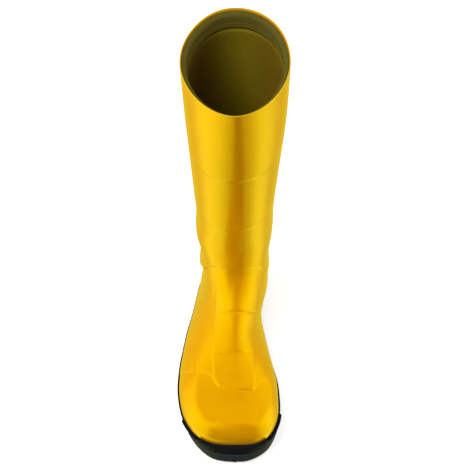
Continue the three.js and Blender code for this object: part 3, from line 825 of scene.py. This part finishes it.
def wall_rows():
    """The outside of the wall from the bottom up. Below the band's top it follows the outline;
    above, it leans in from there to the upper's own outline at its top, a wall's width out."""
    wall = 1 + THICKER_WING * wing - THINNER_WAIST * waist
    cut = bead(OUTLINE[:, 1] - wing_y, *NOTCH)
    rows = [at_height(moved_in(OUTLINE, BOTTOM_INSET + cut), MIDSOLE_BOTTOM)]
    profile = [(0.5, 9.1), (0.05, 9.9), (0, 12), (0, 14.5), (0, 16.6), (0, 17.8), (0.35, 18.3)]
    rows += [at_height(moved_in(OUTLINE, inset + cut), z) for inset, z in profile]
    rows.append(at_height(moved_in(OUTLINE, 1.3 - 0.4 * wing + cut), BAND_TOP))
    edge = moved_in(hugging(wall_top), -WALL_OUT * wall)
    foot = moved_in(OUTLINE, 1.9 - 1.2 * wing + cut)
    for share in (0.05, 0.2, 0.4, 0.6, 0.78, 0.9):
        z = blend(BAND_TOP + 0.2, wall_top, share)
        lean = blend(foot, edge, smooth(-0.6, 1.25, share))
        rows.append(at_height(moved_in(lean, -kick_ledge(z)), z))
    rows.append(at_height(moved_in(hugging(wall_top), -1.8 * wall), wall_top - 0.35))
    rows.append(at_height(moved_in(hugging(wall_top), -1.0 * wall), wall_top))
    rows.append(at_height(moved_in(hugging(wall_top), -0.1), wall_top - 0.15))
    return rows


UPPER_FOOT_Z, SEAT_Z = 18.6, 17.7
PLATE_INSET, LEDGE_TOP_Z = 13.7, 16.0
CORE_INSET, HOLLOW_Z = 19.0, 11.2


def cup_rows():
    """The inside of the cup from the top down: along the upper to its underside, in to the pocket
    that holds the steel plate, down past its ledge, and in along the hollow over the core."""
    rows = [at_height(hugging(z), z) for z in (wall_top - 1.5, blend(UPPER_FOOT_Z, wall_top, 0.5))]
    rows.append(at_height(hugging(UPPER_FOOT_Z), UPPER_FOOT_Z - 0.2))
    rows.append(at_height(moved_in(hugging(UPPER_FOOT_Z), 2.0), SEAT_Z))
    pocket_rows = [(PLATE_INSET, SEAT_Z), (PLATE_INSET, LEDGE_TOP_Z)]
    pocket_rows += [(CORE_INSET, LEDGE_TOP_Z), (CORE_INSET, HOLLOW_Z)]
    rows += [at_height(moved_in(OUTLINE, inset), z) for inset, z in pocket_rows]
    return rows


bottom_edge = moved_in(OUTLINE, BOTTOM_INSET)
under = [at_height(blend(middle, bottom_edge, t), MIDSOLE_BOTTOM) for t in (0, 0.5)]
core_edge = moved_in(OUTLINE, CORE_INSET)
over_core = [at_height(blend(core_edge, middle, t), HOLLOW_Z) for t in (0.5, 1)]
points = np.stack([*under, *wall_rows(), *cup_rows(), *over_core])
sole = new_piece("boot_sole", listed(points), grid_quads(len(points), len(OUTLINE)), sole_black)
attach(sole, "boot")
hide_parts("midsole_rand")

# %% [markdown]
# ## The tread
# Under the cup lies a sheet of harder rubber with lugs. The sheet is the same outline with a
# rounded edge. Each lug is a bar across the foot whose outer end follows the outline; its sides
# slope as they must to leave the mould, and its edges are rounded. Under the tip of the toe the
# lugs fade out, because a sole turns up there. They could be cut from a thick sheet, but bars
# whose roots are sunk in a thin one need no cutting and keep their few faces clean.

# %% Tread finish
tread_black, value, shader = new_material("tread_black", IOR=1.5, Specular_IOR_Level=0.2)
place = object_place(value)
cloud = place.noise(0.04, 3.0)
grain = place.noise(0.0012, 2.0)
feed(
    shader,
    Base_Color=value.mix(cloud, paint(0.018, 0.024, 0.024), paint(0.028, 0.036, 0.036)),
    Roughness=cloud * 0.12 + grain * 0.08 + 0.42,
    Normal=value.bump(grain, 0.0001, 0.8),
)
print("made", tread_black.name)

# %% Tread sheet
SHEET_BOTTOM, SHEET_TOP = 5.0, 8.5
NOTCH_X = 2.0
notch = bead(OUTLINE[:, 0] - NOTCH_X, 1.6, 1.5) * (OUTLINE[:, 1] < -140)
PROFILE = [(2.6, 5.0), (1.2, 5.1), (0.4, 5.6), (0.0, 6.4), (0.0, 7.6), (0.3, 8.2), (1.0, 8.5)]
rows = [at_height(blend(middle, moved_in(OUTLINE, 2.6), t), SHEET_BOTTOM) for t in (0, 0.5)]
rows += [at_height(moved_in(OUTLINE, inset + notch), z) for inset, z in PROFILE]
rows += [at_height(blend(moved_in(OUTLINE, 1.0), middle, t), SHEET_TOP) for t in (0.5, 1)]
points = np.stack(rows)
sheet_points = listed(points)
sheet_quads = grid_quads(len(points), len(OUTLINE))
print("tread sheet", len(sheet_quads), "quads")

# %% Lugs
LUG_PITCH, GROOVE, GROOVE_X = 17.0, 5.0, -6.0
BALL_LUGS, HEEL_LUGS = (-153.0, 0.0), (62.0, 153.0)
LUG_INSET = 2.6
DRAFT = 0.9
ROOT_Z = 6.0
LUG_LEVELS = [(0.6, 0.0), (0.15, 0.35), (0.0, 0.9), (-DRAFT, ROOT_Z)]
ACROSS, ALONG = 12, 5

foot_edge = moved_in(OUTLINE, LUG_INSET)


def edge_x(y, outer):
    """x of the sole's edge at these y, on the outer or the inner side."""
    inner_side = np.vstack([foot_edge[SIDE_COUNT:], foot_edge[:1]])
    side = foot_edge[: SIDE_COUNT + 1] if outer else inner_side
    order = np.argsort(side[:, 1])
    return np.interp(y, side[order, 1], side[order, 0])


def toe_lift(y):
    """How far the bottom of the tread rises towards the tip of the toe."""
    return 4.4 * smooth(-112, -156, y) ** 1.3


def lug(near, far, outer):
    """One bar as a loop of points round its plan, at several heights, closed by a middle point:
    its four sides run from the groove along the foot to the sole's edge, and move in by the
    rounding at the bottom and out by the draft at the root."""
    q, r = np.linspace(0, 1, ACROSS), np.linspace(0, 1, ALONG)
    loops = []
    for inset, z in LUG_LEVELS:
        a, b = near + inset, far - inset
        low = max(a, foot_edge[:, 1].min() + 0.3)
        high = min(b, foot_edge[:, 1].max() - 0.3)
        y = np.concatenate([np.full(ACROSS, low), blend(low, high, r)[1:-1]])
        y = np.concatenate([y, np.full(ACROSS, high), blend(high, low, r)[1:-1]])
        share = np.concatenate([q, np.ones(ALONG - 2), q[::-1], np.zeros(ALONG - 2)])
        sign = -1 if outer else 1
        start = GROOVE_X + sign * (GROOVE / 2 + inset)
        end = edge_x(y, outer) - sign * np.maximum(inset, 0)
        x = blend(start, np.maximum(end * sign, start * sign) * sign, share)
        bottom = np.maximum(z, toe_lift(y)) if z < ROOT_Z else np.full(len(y), ROOT_Z)
        loops.append(np.column_stack([x, y, bottom]))
    loops = np.stack(loops)
    middles = [np.broadcast_to(loop.mean(0), loop.shape)[None] for loop in (loops[0], loops[-1])]
    stack = np.concatenate([middles[0], loops, middles[1]])
    return stack if outer else stack[:, ::-1]


all_points, all_quads, start = [sheet_points], [sheet_quads], len(sheet_points)
lugs = 0
for low, high in (BALL_LUGS, HEEL_LUGS):
    count = round((high - low) / LUG_PITCH)
    pitch = (high - low) / count
    for i in range(count):
        near = low + i * pitch + GROOVE / 2
        for outer in (True, False):
            stack = lug(near, near + pitch - GROOVE, outer)
            quads = grid_quads(stack.shape[0], stack.shape[1])
            all_points.append(listed(stack))
            all_quads.append(quads + start)
            start += stack.shape[0] * stack.shape[1]
            lugs += 1
tread = new_piece("boot_tread", np.concatenate(all_points), np.concatenate(all_quads), tread_black)
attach(tread, "boot")
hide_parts("outsole_tread")
print("lugs", lugs)

# %% [markdown]
# ## The lining
# Inside the upper is a sock of knitted polyester, black and mustard yarns together, which reads
# as dark olive. It is bonded all over, so it simply follows the last a little further in, as a
# thin closed skin. The knit is too fine to model loop by loop: rows of small V stitches come from
# the fabric's own coordinates, wales round the leg and courses along it. Towards the sides of the
# leg both colours are drawn to a darker brown. This is painted shade, strongest at the outer side,
# where the inside of the leg lies in shadow.

# %% Knit finish
WALE, COURSE = 0.0022, 0.0018


def knit_height(value, uv, wale, course):
    """V stitches: across a wale the two legs of a V rise to a ridge each, and the courses repeat
    along it, shifted by the slant of the legs. u and v are metres over the cloth."""
    u, v, _ = parts_of(value, uv)
    u = u / wale
    v = v / course
    lean = value.math("PINGPONG", u, 0.5)
    legs = value.math("ABSOLUTE", value.math("SINE", u * (2 * np.pi)))
    rows = value.math("SINE", (v + lean * 1.2) * (2 * np.pi)) * 0.5 + 0.5
    return legs * (rows * 0.75 + 0.25)


def cloth_place(value):
    """The cloth's own coordinates, from the piece's UV map."""
    return value.node("ShaderNodeUVMap", {"uv_map": "cloth"})


def knitted(name, wale, course, shadows, threads, side_shade=None):
    """Knitted cloth: clouds mix the two shadow and the two thread colours, and the stitches mix
    shadow and thread. With a side mask given, both are drawn to darker brown: painted shade."""
    material, value, shader = new_material(name, IOR=1.45, Specular_IOR_Level=0.2)
    place = object_place(value)
    stitch = knit_height(value, cloth_place(value), wale, course)
    cloud = place.noise(0.03, 4.0)
    shadow, thread = value.mix(cloud, *shadows), value.mix(cloud, *threads)
    if side_shade:
        # Painted shade: towards the sides of the leg both colours are drawn to darker brown.
        share = side_shade(parts_of(value, place)[0])
        shadow = value.mix(share, shadow, SIDE_SHADE_DARK)
        thread = value.mix(share, thread, SIDE_SHADE_THREAD)
    feed(
        shader,
        Base_Color=value.mix(stitch, shadow, thread),
        Roughness=stitch * -0.1 + 0.95,
        Normal=value.bump(stitch, STITCH_HEIGHT, 0.8),
    )
    return material


def painted_side_shade(x):
    """Mask of painted shade: 0 in the middle of the leg, 1 at its outer side and a half at its
    inner side.
    """
    return x.step(-0.005, -0.040) + x.step(0.015, 0.040) * 0.5


# Darker brown colours of the painted shade at the sides of the leg.
SIDE_SHADE_DARK, SIDE_SHADE_THREAD = paint(0.085, 0.042, 0.006), paint(0.28, 0.155, 0.012)
STITCH_HEIGHT = 0.0004
knit = knitted(
    "olive_knit",
    WALE,
    COURSE,
    shadows=[paint(0.11, 0.082, 0.004), paint(0.14, 0.105, 0.005)],
    threads=[paint(0.34, 0.255, 0.008), paint(0.40, 0.305, 0.010)],
    side_shade=painted_side_shade,
)
print("made", knit.name)

# %% Lining
GAP = 0.3
LINING_DEPTH = WALL + GAP
LINING_WALL = 1.8
CAP_ROOM = 2.1
HEEL_BOTTOM_S, CAP_ROOM_S = 47.0, 62.0
CUFF_TOP_S, CUFF_END_S = 0.35, 2.37
LINING_COLUMNS = 144


def drawn_in(s):
    """Over the forefoot the lining draws in to leave room for the steel cap."""
    return CAP_ROOM * np.clip((s - HEEL_BOTTOM_S) / (CAP_ROOM_S - HEEL_BOTTOM_S), 0, 1)


def cloth_uv(points):
    """Metres over the cloth: the mean length round a row times its share, and along a column."""
    round_it = np.linalg.norm(np.roll(points, -1, 1) - points, axis=-1)
    u = np.cumsum(round_it, axis=1) - round_it
    v = np.concatenate([[0], np.cumsum(np.linalg.norm(np.diff(points, axis=0), axis=-1).mean(1))])
    girth = round_it.sum(1)
    u = u / girth[:, None] * girth.max()
    return np.stack([u, np.broadcast_to(v[:, None], u.shape)], -1) * MM


def skin_piece(name, s, outer_depth, inner_depth, lip, material):
    """A thin closed skin of the last between two depths, with a lip of extra rows at its top and,
    where it doesn't reach the tip, at its lower end too."""
    turn = turns(LINING_COLUMNS)[None, :]
    outside = last_points(s, turn, outer_depth)
    inside = last_points(s, turn, inner_depth)
    rows = closed_shell(inside, lip, outside)
    if s[-1, 0] < TIP_S - 1e-6:
        rows = np.concatenate([outside[-1:], rows])
    uv = cloth_uv(rows).reshape(-1, 2)
    return new_piece(name, listed(rows), grid_quads(len(rows), LINING_COLUMNS), material, uv)


s_lining = spaced([CUFF_END_S + 0.04, 34.0, 47.0, 62.0, TIP_S], [64, 26, 26, 30])[:, None]
outer_depth = LINING_DEPTH + drawn_in(s_lining)
turn = turns(LINING_COLUMNS)[None, :]
no_lip = last_points(s_lining[:1], turn, outer_depth[:1] + LINING_WALL / 2)
inner_depth = outer_depth + LINING_WALL
lining = skin_piece("boot_lining", s_lining, outer_depth, inner_depth, no_lip, knit)
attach(lining, "boot")
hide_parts("lining_sock")

# %% [markdown]
# ## The cuff
# The top of the lining is turned down into a doubled hem and sewn with two rows of mustard
# thread. The hem is a thicker skin that rolls in from the rim, and each stitch is a small bar of
# thread laid on it, because at the mouth of the boot one looks straight at them.

# %% Cuff
CUFF_WALL = 2.6
CUFF_DEPTH = LINING_DEPTH + CUFF_WALL
HEM_WALE, HEM_COURSE = 0.0018, 0.0015
ROLL_S = 0.5
HEM_END, HEM_END_S = 1.2, 0.16

# From its top edge the hem rolls in to its full thickness over ROLL_S, and over its last HEM_END_S
# it thins by HEM_END.
hem = knitted(
    "cuff_hem",
    HEM_WALE,
    HEM_COURSE,
    shadows=[paint(0.070, 0.055, 0.009), paint(0.085, 0.070, 0.011)],
    threads=[paint(0.17, 0.14, 0.022), paint(0.21, 0.18, 0.028)],
)
s_cuff = spaced([CUFF_TOP_S, CUFF_END_S], [20])[:, None]
outer_depth = wall_at(s_cuff) + GAP
roll = 1 - (1 - np.clip((s_cuff - CUFF_TOP_S) / ROLL_S, 0, 1)) ** 2
hem_end = HEM_END * smooth(CUFF_END_S - HEM_END_S, CUFF_END_S, s_cuff)
inner_depth = blend(outer_depth + 1.0, CUFF_DEPTH, roll) - hem_end
top_lip = last_points(s_cuff[:1] - 0.06, turn, outer_depth[:1] + 0.5)
cuff = skin_piece("boot_cuff", s_cuff, outer_depth, inner_depth, top_lip, hem)
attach(cuff, "boot")
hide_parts("lining_cuff")

# %% Stitches of the hem
mustard, value, shader = new_material("mustard_thread", IOR=1.45, Specular_IOR_Level=0.3)
place = object_place(value)
twist = place.noise(0.0006, 1.0)
feed(
    shader,
    Base_Color=value.mix(twist, paint(0.16, 0.125, 0.012), paint(0.26, 0.205, 0.02)),
    Roughness=twist * 0.2 + 0.65,
    Normal=value.bump(twist, 0.0002, 0.6),
)

STITCHES = 132
STITCH_ROWS_S = (1.62, 1.92)
STITCH_LONG, STITCH_RADIUS, STITCH_SIDES = 2.1, 0.42, 6


def stitch_row(s, count):
    """Bars of thread round the hem. Each is six rings of six points: the ring's radius follows
    the root of 1 - t^2 along the bar, and its ends dip into the cloth."""
    u = 2 * np.pi * (np.arange(count) + 0.5) / count
    depth = CUFF_DEPTH + 0.05
    centre = last_points(s, u, depth)
    ahead = last_points(s, u + 0.01, depth) - last_points(s, u - 0.01, depth)
    ahead /= np.linalg.norm(ahead, axis=1, keepdims=True)
    inward = last_points(s, u, depth + 1) - centre
    inward /= np.linalg.norm(inward, axis=1, keepdims=True)
    side = np.cross(ahead, inward)
    t = np.array([-1, -0.8, -0.35, 0.35, 0.8, 1])
    radius = STITCH_RADIUS * np.sqrt(np.maximum(1 - t**2, 0))
    bow = 0.35 * (1 - t**2) - 0.15
    around = 2 * np.pi * np.arange(STITCH_SIDES)[:, None] / STITCH_SIDES
    line = centre[:, None] + ahead[:, None] * (t * STITCH_LONG / 2)[:, None]
    line = line + inward[:, None] * bow[:, None]
    ring = side[:, None, None] * np.cos(around)
    ring = ring + inward[:, None, None] * np.sin(around)
    return line[:, :, None] + ring * radius[:, None, None]


stitches = np.concatenate([stitch_row(s, STITCHES) for s in STITCH_ROWS_S])
one = grid_quads(stitches.shape[1], STITCH_SIDES)
starts = stitches.shape[1] * STITCH_SIDES * np.arange(len(stitches))
quads = (one[None] + starts[:, None, None]).reshape(-1, 4)
thread_piece = new_piece("cuff_stitches", listed(stitches), quads, mustard)
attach(thread_piece, "boot")
print("stitches", len(stitches))


def area_of(piece):
    """Area of a mesh in square metres."""
    sizes = np.zeros(len(piece.data.polygons), np.float32)
    piece.data.polygons.foreach_get("area", sizes)
    return float(sizes.sum())


lining_area = round(area_of(lining) / 2, 3)

# %% [markdown]
# ## The footbed
# The loose insole is a foam board with a felt face and a gel pad in its heel, and lifts out by
# its heel end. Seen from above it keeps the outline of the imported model's pieces, because that is
# the room it can lift in. A worn padded face isn't flat: it rises a little under the arch and is
# pressed down at the heel and the ball, and its lower edge is rounded. Blocks with bevels could
# stand for the pads, but two heights over one plan, joined by a rounded edge, give the worn face.

# %% Footbed finishes
felt, value, shader = new_material("grey_felt", IOR=1.45, Specular_IOR_Level=0.15)
place = object_place(value)
fibre = place.noise(0.0012, 5.0, stretch=(1.0, 0.35, 1.0))
cloud = place.noise(0.02, 3.0)
pale = value.mix(cloud, paint(0.045, 0.046, 0.048), paint(0.075, 0.077, 0.080))
feed(
    shader,
    Base_Color=value.mix(fibre.step(0.35, 0.7), paint(0.020, 0.021, 0.022), pale),
    Roughness=fibre * 0.1 + 0.88,
    Normal=value.bump(fibre, 0.0005, 0.8),
)

foam, value, shader = new_material("charcoal_foam", IOR=1.45, Specular_IOR_Level=0.2)
place = object_place(value)
cells = place.node("ShaderNodeTexVoronoi", {}, {"Vector": place, "Scale": 900.0})
cloud = place.noise(0.02, 2.0)
feed(
    shader,
    Base_Color=value.mix(cloud, paint(0.030, 0.033, 0.038), paint(0.048, 0.052, 0.060)),
    Roughness=cells * 0.1 + 0.84,
    Normal=value.bump(cells, 0.0004, 0.8),
)

gel, value, shader = new_material("blue_gel", Specular_IOR_Level=0.5)
cloud = object_place(value).noise(0.008, 2.0)
feed(
    shader,
    Base_Color=value.mix(cloud, paint(0.02, 0.11, 0.36), paint(0.04, 0.17, 0.48)),
    Roughness=cloud * 0.15 + 0.3,
)
print("made", felt.name, foam.name, gel.name)

# %% Footbed
EASE = 0.4
LIFT_SETBACK = 8.0
LIFT_SLOPE = 0.12
PAD_RINGS = 15


def node_box(node):
    """Lowest and highest corner of a node, in millimetres of the last."""
    return [(np.array(corner) - SHIFT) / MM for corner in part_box(node)]


def node_outline(node, ease):
    """Outline of a node seen from above. At each y its edges from a to b are crossed where
    t = (y - a_y) / (b_y - a_y) is in 0..1, and the least and greatest x are its two sides."""
    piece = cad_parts[node]
    places = np.empty(len(piece.data.vertices) * 3, np.float32)
    piece.data.vertices.foreach_get("co", places)
    places = (places.reshape(-1, 3) @ np.array(piece.matrix_world)[:3, :3].T) / MM
    places += (np.array(piece.matrix_world)[:3, 3] - SHIFT) / MM
    ends = np.empty(len(piece.data.edges) * 2, np.int32)
    piece.data.edges.foreach_get("vertices", ends)
    a, b = places[ends[0::2]], places[ends[1::2]]
    middle_y, half = (places[:, 1].max() + places[:, 1].min()) / 2, np.ptp(places[:, 1]) / 2
    y = middle_y - (half - ease) * np.cos(np.linspace(0, np.pi, 121))[:, None]
    rise = b[:, 1] - a[:, 1]
    t = (y - a[:, 1]) / np.where(np.abs(rise) < 1e-6, 1e-6, rise)
    crossed = (t >= 0) & (t <= 1)
    x = blend(a[:, 0], b[:, 0], t)
    low = np.where(crossed, x, np.inf).min(1)
    high = np.where(crossed, x, -np.inf).max(1)
    ends = np.column_stack([(low + high)[[0, -1]] / 2, y[[0, -1], 0]])
    sides = [np.column_stack([edge, y]) for edge in (low + ease, high - ease)]
    return both_sides(*[np.vstack([ends[:1], side, ends[1:]]) for side in sides])


def pad_face(line, share, height):
    """One ring of a padded face: `share` of the way in from the outline to its middle line."""
    ring = blend(line, middle_line(line), share)
    return np.column_stack([ring, height(ring)])


def flat_pad(name, line, bottom, top, rounding, material):
    """A pad whose two faces are heights over the plan and whose lower edge is rounded. Its rings
    run from the middle of the underside, round the edge, to the middle of the top."""
    shares = np.linspace(0, 1, PAD_RINGS)
    under = [pad_face(line, share, bottom) for share in shares[:0:-1]]
    over = [pad_face(line, share, top) for share in shares[1:]]
    heights = bottom(line), top(line)
    profile = [(1, 0), (0.5, 0.2), (0.15, 0.45), (0, 0.75), (0.25, 1)]
    edge = [at_height(moved_in(line, rounding * inset), blend(*heights, t)) for inset, t in profile]
    points = np.stack([*under, *edge, *over])
    made = new_piece(name, listed(points), grid_quads(*points.shape[:2]), material)
    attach(made, "footbed")
    return made


# x and y of the middle, half width, half length, and height: arch, heel seat, ball.
PRESSED = [(14, 25, 12, 45, 0.7), (0, 100, 20, 28, -0.5), (-4, -80, 30, 30, -0.5)]


def crown(plan):
    """Height of the footbed's face over flat: for the arch, the heel's seat and the ball the sum
    of height times e^(-((x - x0) / wide)^2 - ((y - y0) / long)^2)."""
    x0, y0, wide, long, height = np.array(PRESSED).T[:, :, None]
    hills = np.exp(-(((plan[:, 0] - x0) / wide) ** 2) - ((plan[:, 1] - y0) / long) ** 2)
    return (height * hills).sum(0)


low, high = node_box("footbed_cover")
cover_line = node_outline("footbed_cover", EASE)
cover = flat_pad(
    "footbed_face",
    cover_line,
    lambda plan: low[2] + crown(plan),
    lambda plan: high[2] + crown(plan),
    0.4,
    felt,
)
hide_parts("footbed_cover")

# %% Foam and heel pad
PAD_HALF_WIDTH, PAD_HALF_LENGTH = 19.0, 23.0
FACE_GAP = 0.02
foam_low, foam_high = node_box("footbed_foam")
pad_low, pad_high = node_box("footbed_heel_pad")


def pocket(plan):
    """Depth of the pocket for the heel pad: full inside the pad's ellipse and a little round it."""
    across = (plan[:, 0] - (pad_low[0] + pad_high[0]) / 2) / PAD_HALF_WIDTH
    along = (plan[:, 1] - (pad_low[1] + pad_high[1]) / 2) / PAD_HALF_LENGTH
    return (pad_high[2] - pad_low[2] + 0.4) * (1 - smooth(1.02, 1.2, np.hypot(across, along)))


def front_bevel(plan):
    """In front of the line that the footbed lifts about, its underside slopes up."""
    return LIFT_SLOPE * np.maximum(foam_low[1] + LIFT_SETBACK - plan[:, 1], 0)


foam_line = node_outline("footbed_foam", EASE)
foam_piece = flat_pad(
    "footbed_body",
    foam_line,
    lambda plan: foam_low[2] + pocket(plan) + front_bevel(plan),
    lambda plan: foam_high[2] + crown(plan) - FACE_GAP,
    3.0 + 4.0 * smooth(-105, -132, foam_line[:, 1]),
    foam,
)
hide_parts("footbed_foam")

GEL_COLUMNS = 64
GEL_PROFILE = [(0, 0), (0.5, 0), (0.95, 0), (1, 0.15), (1, 0.8), (0.95, 1), (0.5, 1), (0, 1)]
around = 2 * np.pi * np.arange(GEL_COLUMNS) / GEL_COLUMNS
middle_of_pad = (pad_low[:2] + pad_high[:2]) / 2
pad_size = (pad_high[:2] - pad_low[:2]) / 2 - 0.2
rows = []
for share, height in GEL_PROFILE:
    x = middle_of_pad[0] + pad_size[0] * share * np.cos(around)
    y = middle_of_pad[1] + pad_size[1] * share * np.sin(around)
    rows.append(at_height(np.column_stack([x, y]), blend(pad_low[2], pad_high[2], height)))
points = np.stack(rows)
quads = grid_quads(len(points), GEL_COLUMNS)[:, ::-1]
pad = new_piece("heel_gel_pad", listed(points), quads, gel)
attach(pad, "footbed")
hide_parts("footbed_heel_pad")

# %% [markdown]
# ## Pieces that stay hidden
# The steel cap and its plastic edge strip, the steel plate, the arch shank, the fibre board and
# the cork heel core have the right shape already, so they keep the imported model's meshes and only
# get their finishes. Rolled steel is brushed along the foot, fibre board is speckled, and cork is
# made of close-packed lumps.

# %% Finishes of the hidden pieces
steel, value, shader = new_material("rolled_steel", Metallic=1.0)
place = object_place(value)
brush = place.noise(0.0008, 3.0, stretch=(1.0, 0.06, 1.0))
cloud = place.noise(0.03, 3.0)
feed(
    shader,
    Base_Color=value.mix(cloud, paint(0.42, 0.43, 0.44), paint(0.56, 0.57, 0.58)),
    Roughness=brush * 0.2 + 0.24,
    Normal=value.bump(brush, 0.00005, 0.6),
)

plastic, value, shader = new_material("strip_plastic", Specular_IOR_Level=0.4)
cloud = object_place(value).noise(0.004, 3.0)
feed(
    shader,
    Base_Color=value.mix(cloud, paint(0.010, 0.011, 0.012), paint(0.020, 0.021, 0.023)),
    Roughness=cloud * 0.2 + 0.45,
)

board, value, shader = new_material("fibre_board", Specular_IOR_Level=0.2)
place = object_place(value)
fibre = place.noise(0.0015, 5.0)
feed(
    shader,
    Base_Color=value.mix(fibre.step(0.3, 0.7), paint(0.24, 0.15, 0.07), paint(0.42, 0.30, 0.16)),
    Roughness=fibre * 0.1 + 0.85,
    Normal=value.bump(fibre, 0.0003, 0.7),
)

cork, value, shader = new_material("heel_cork", Specular_IOR_Level=0.2)
place = object_place(value)
lumps = place.node("ShaderNodeTexVoronoi", {}, {"Vector": place, "Scale": 380.0})
grain = place.noise(0.001, 3.0)
feed(
    shader,
    Base_Color=value.mix(lumps * 1.2, paint(0.30, 0.17, 0.08), paint(0.12, 0.06, 0.03)),
    Roughness=grain * 0.1 + 0.85,
    Normal=value.bump(lumps * 0.6 + grain * 0.4, 0.0005, 0.8),
)

HIDDEN = {
    "steel_toe_cap": steel,
    "penetration_plate": steel,
    "arch_shank": steel,
    "toe_cap_edge_strip": plastic,
    "insole_board": board,
    "heel_core": cork,
}
for node, material in HIDDEN.items():
    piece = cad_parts[node]
    piece.data.materials.clear()
    piece.data.materials.append(material)
    print(node, "is", material.name)

# %% [markdown]
# ## The studio
# The boot stands on a plain white floor in a light tent. Three large soft lamps give the light
# that falls on it: the main one high at the left, and a low one on either side. What the gloss
# mirrors is the tent itself, painted on the sky as a formula of the direction: bright warm cloth
# to the left and right, and a narrow dark gap in front, where the tent opens for the camera. The
# gap is what draws a dark stripe down a glossy leg. To the camera the sky is plain white.


# %% Light tent
def tent_brightness(sky):
    """Brightness of the tent's cloth in each direction. Azimuth is 0 towards the camera and 90
    at +X. Either side of the gap the cloth brightens in two steps, and it dims again behind."""
    x, y, z = parts_of(sky, sky.node("ShaderNodeTexCoord", {}, {}, output=0))
    azimuth = sky.math("ARCTAN2", x, y * -1.0) * (180 / np.pi)
    height = sky.math("ARCSINE", z) * (180 / np.pi)
    left = azimuth.step(5, -12) * 1.2 + azimuth.step(0, -60) * 1.35
    right = azimuth.step(20, 33) * 1.05 + azimuth.step(35, 80) * 1.6
    behind = azimuth.step(85, 130) + azimuth.step(-85, -130)
    cloth = (left + right) * (1 - behind * (0.7 - height.step(5, 35) * 0.35))
    low_front = azimuth.step(-45, -25) * azimuth.step(45, 25)
    low_front = low_front * height.step(-32, -22) * height.step(38, 22)
    return cloth * (1 - low_front * 0.8) * (1 - height.step(35, 75) * 0.45)


world = bpy.data.worlds.new("light_tent")
bpy.context.scene.world = world
world.use_nodes = True
world.node_tree.nodes.clear()
world.cycles.sampling_method = "NONE"
sky = Value(world.node_tree)
AMBIENT = 0.30
WARM = paint(1.0, 1.0, 0.10)
ray = sky.node("ShaderNodeLightPath").socket.node
camera_ray = Value(sky.tree, ray.outputs["Is Camera Ray"])
mirror_ray = Value(sky.tree, ray.outputs["Is Glossy Ray"])
strength = blend(blend(AMBIENT, tent_brightness(sky), mirror_ray), 1.0, camera_ray)
cloth = sky.mix(mirror_ray, paint(1, 1, 1), WARM)
background = sky.node("ShaderNodeBackground", {}, {"Color": cloth, "Strength": strength})
out = world.node_tree.nodes.new("ShaderNodeOutputWorld")
world.node_tree.links.new(background.socket, out.inputs["Surface"])
print("light tent is up")

# %% Lamps
LAMP_AIM_Z = 0.2
LAMPS = {
    # azimuth, elevation, distance, width, height, watts
    "lamp_left": (-48, 58, 1.6, 0.8, 0.8, 18),
    "lamp_low_left": (-95, 4, 1.6, 1.0, 1.2, 15),
    "lamp_low_right": (88, 4, 1.6, 1.0, 1.2, 20),
}
for name, (azimuth, elevation, distance, width, height, watts) in LAMPS.items():
    lamp = bpy.data.lights.new(name, "AREA")
    lamp.shape = "RECTANGLE"
    lamp.size, lamp.size_y = width, height
    lamp.energy = watts
    stand = bpy.data.objects.new(name, lamp)
    a, e = np.radians([azimuth, elevation])
    stand.location = distance * np.array([np.sin(a) * np.cos(e), -np.cos(a) * np.cos(e), np.sin(e)])
    stand.location.z += LAMP_AIM_Z
    stand.rotation_euler = (np.pi / 2 - e, 0, a)
    stand.visible_glossy = False
    bpy.context.scene.collection.objects.link(stand)
print("lamps", len(LAMPS))

# %% Floor
floor_paint, value, shader = new_material("white_floor", Roughness=0.9, Specular_IOR_Level=0.0)
shader.inputs["Base Color"].default_value = paint(0.9, 0.9, 0.9)
shader.inputs["Emission Color"].default_value = paint(1, 1, 1)
shader.inputs["Emission Strength"].default_value = 0.62
# The floor lies a little under the tread, so that no two faces share a plane.
FLOOR_HALF, FLOOR_DROP = 3.0, 0.0003
corners = [(-1, -1, 0), (1, -1, 0), (1, 1, 0), (-1, 1, 0)]
corners = np.array(corners) * FLOOR_HALF - [0, 0, FLOOR_DROP]
floor = new_piece("floor", corners, np.array([[0, 1, 2, 3]]), floor_paint)
floor.visible_diffuse = False
floor.visible_glossy = False

# %% [markdown]
# ## The camera
# The camera stands in front of the toe and looks down at the boot at 45.5 degrees from 1.42 m,
# with a long lens. It aims at a point in the leg, and a small shift puts that point a little
# below the middle of the view.

# %% Camera
AIM = in_frame([0, 20, 170])
LOOK_DOWN = np.radians(45.5)
DISTANCE = 1.423
lens = bpy.data.cameras.new("camera")
lens.lens = 95.74
lens.sensor_width = 36.0
lens.shift_y = 0.0372
camera = bpy.data.objects.new("camera", lens)
camera.location = AIM + DISTANCE * np.array([0, -np.cos(LOOK_DOWN), np.sin(LOOK_DOWN)])
camera.rotation_euler = (np.pi / 2 - LOOK_DOWN, 0, 0)
bpy.context.scene.collection.objects.link(camera)
bpy.context.scene.camera = camera
bpy.context.scene.view_settings.view_transform = "Standard"
print("camera at", [round(c, 3) for c in camera.location])
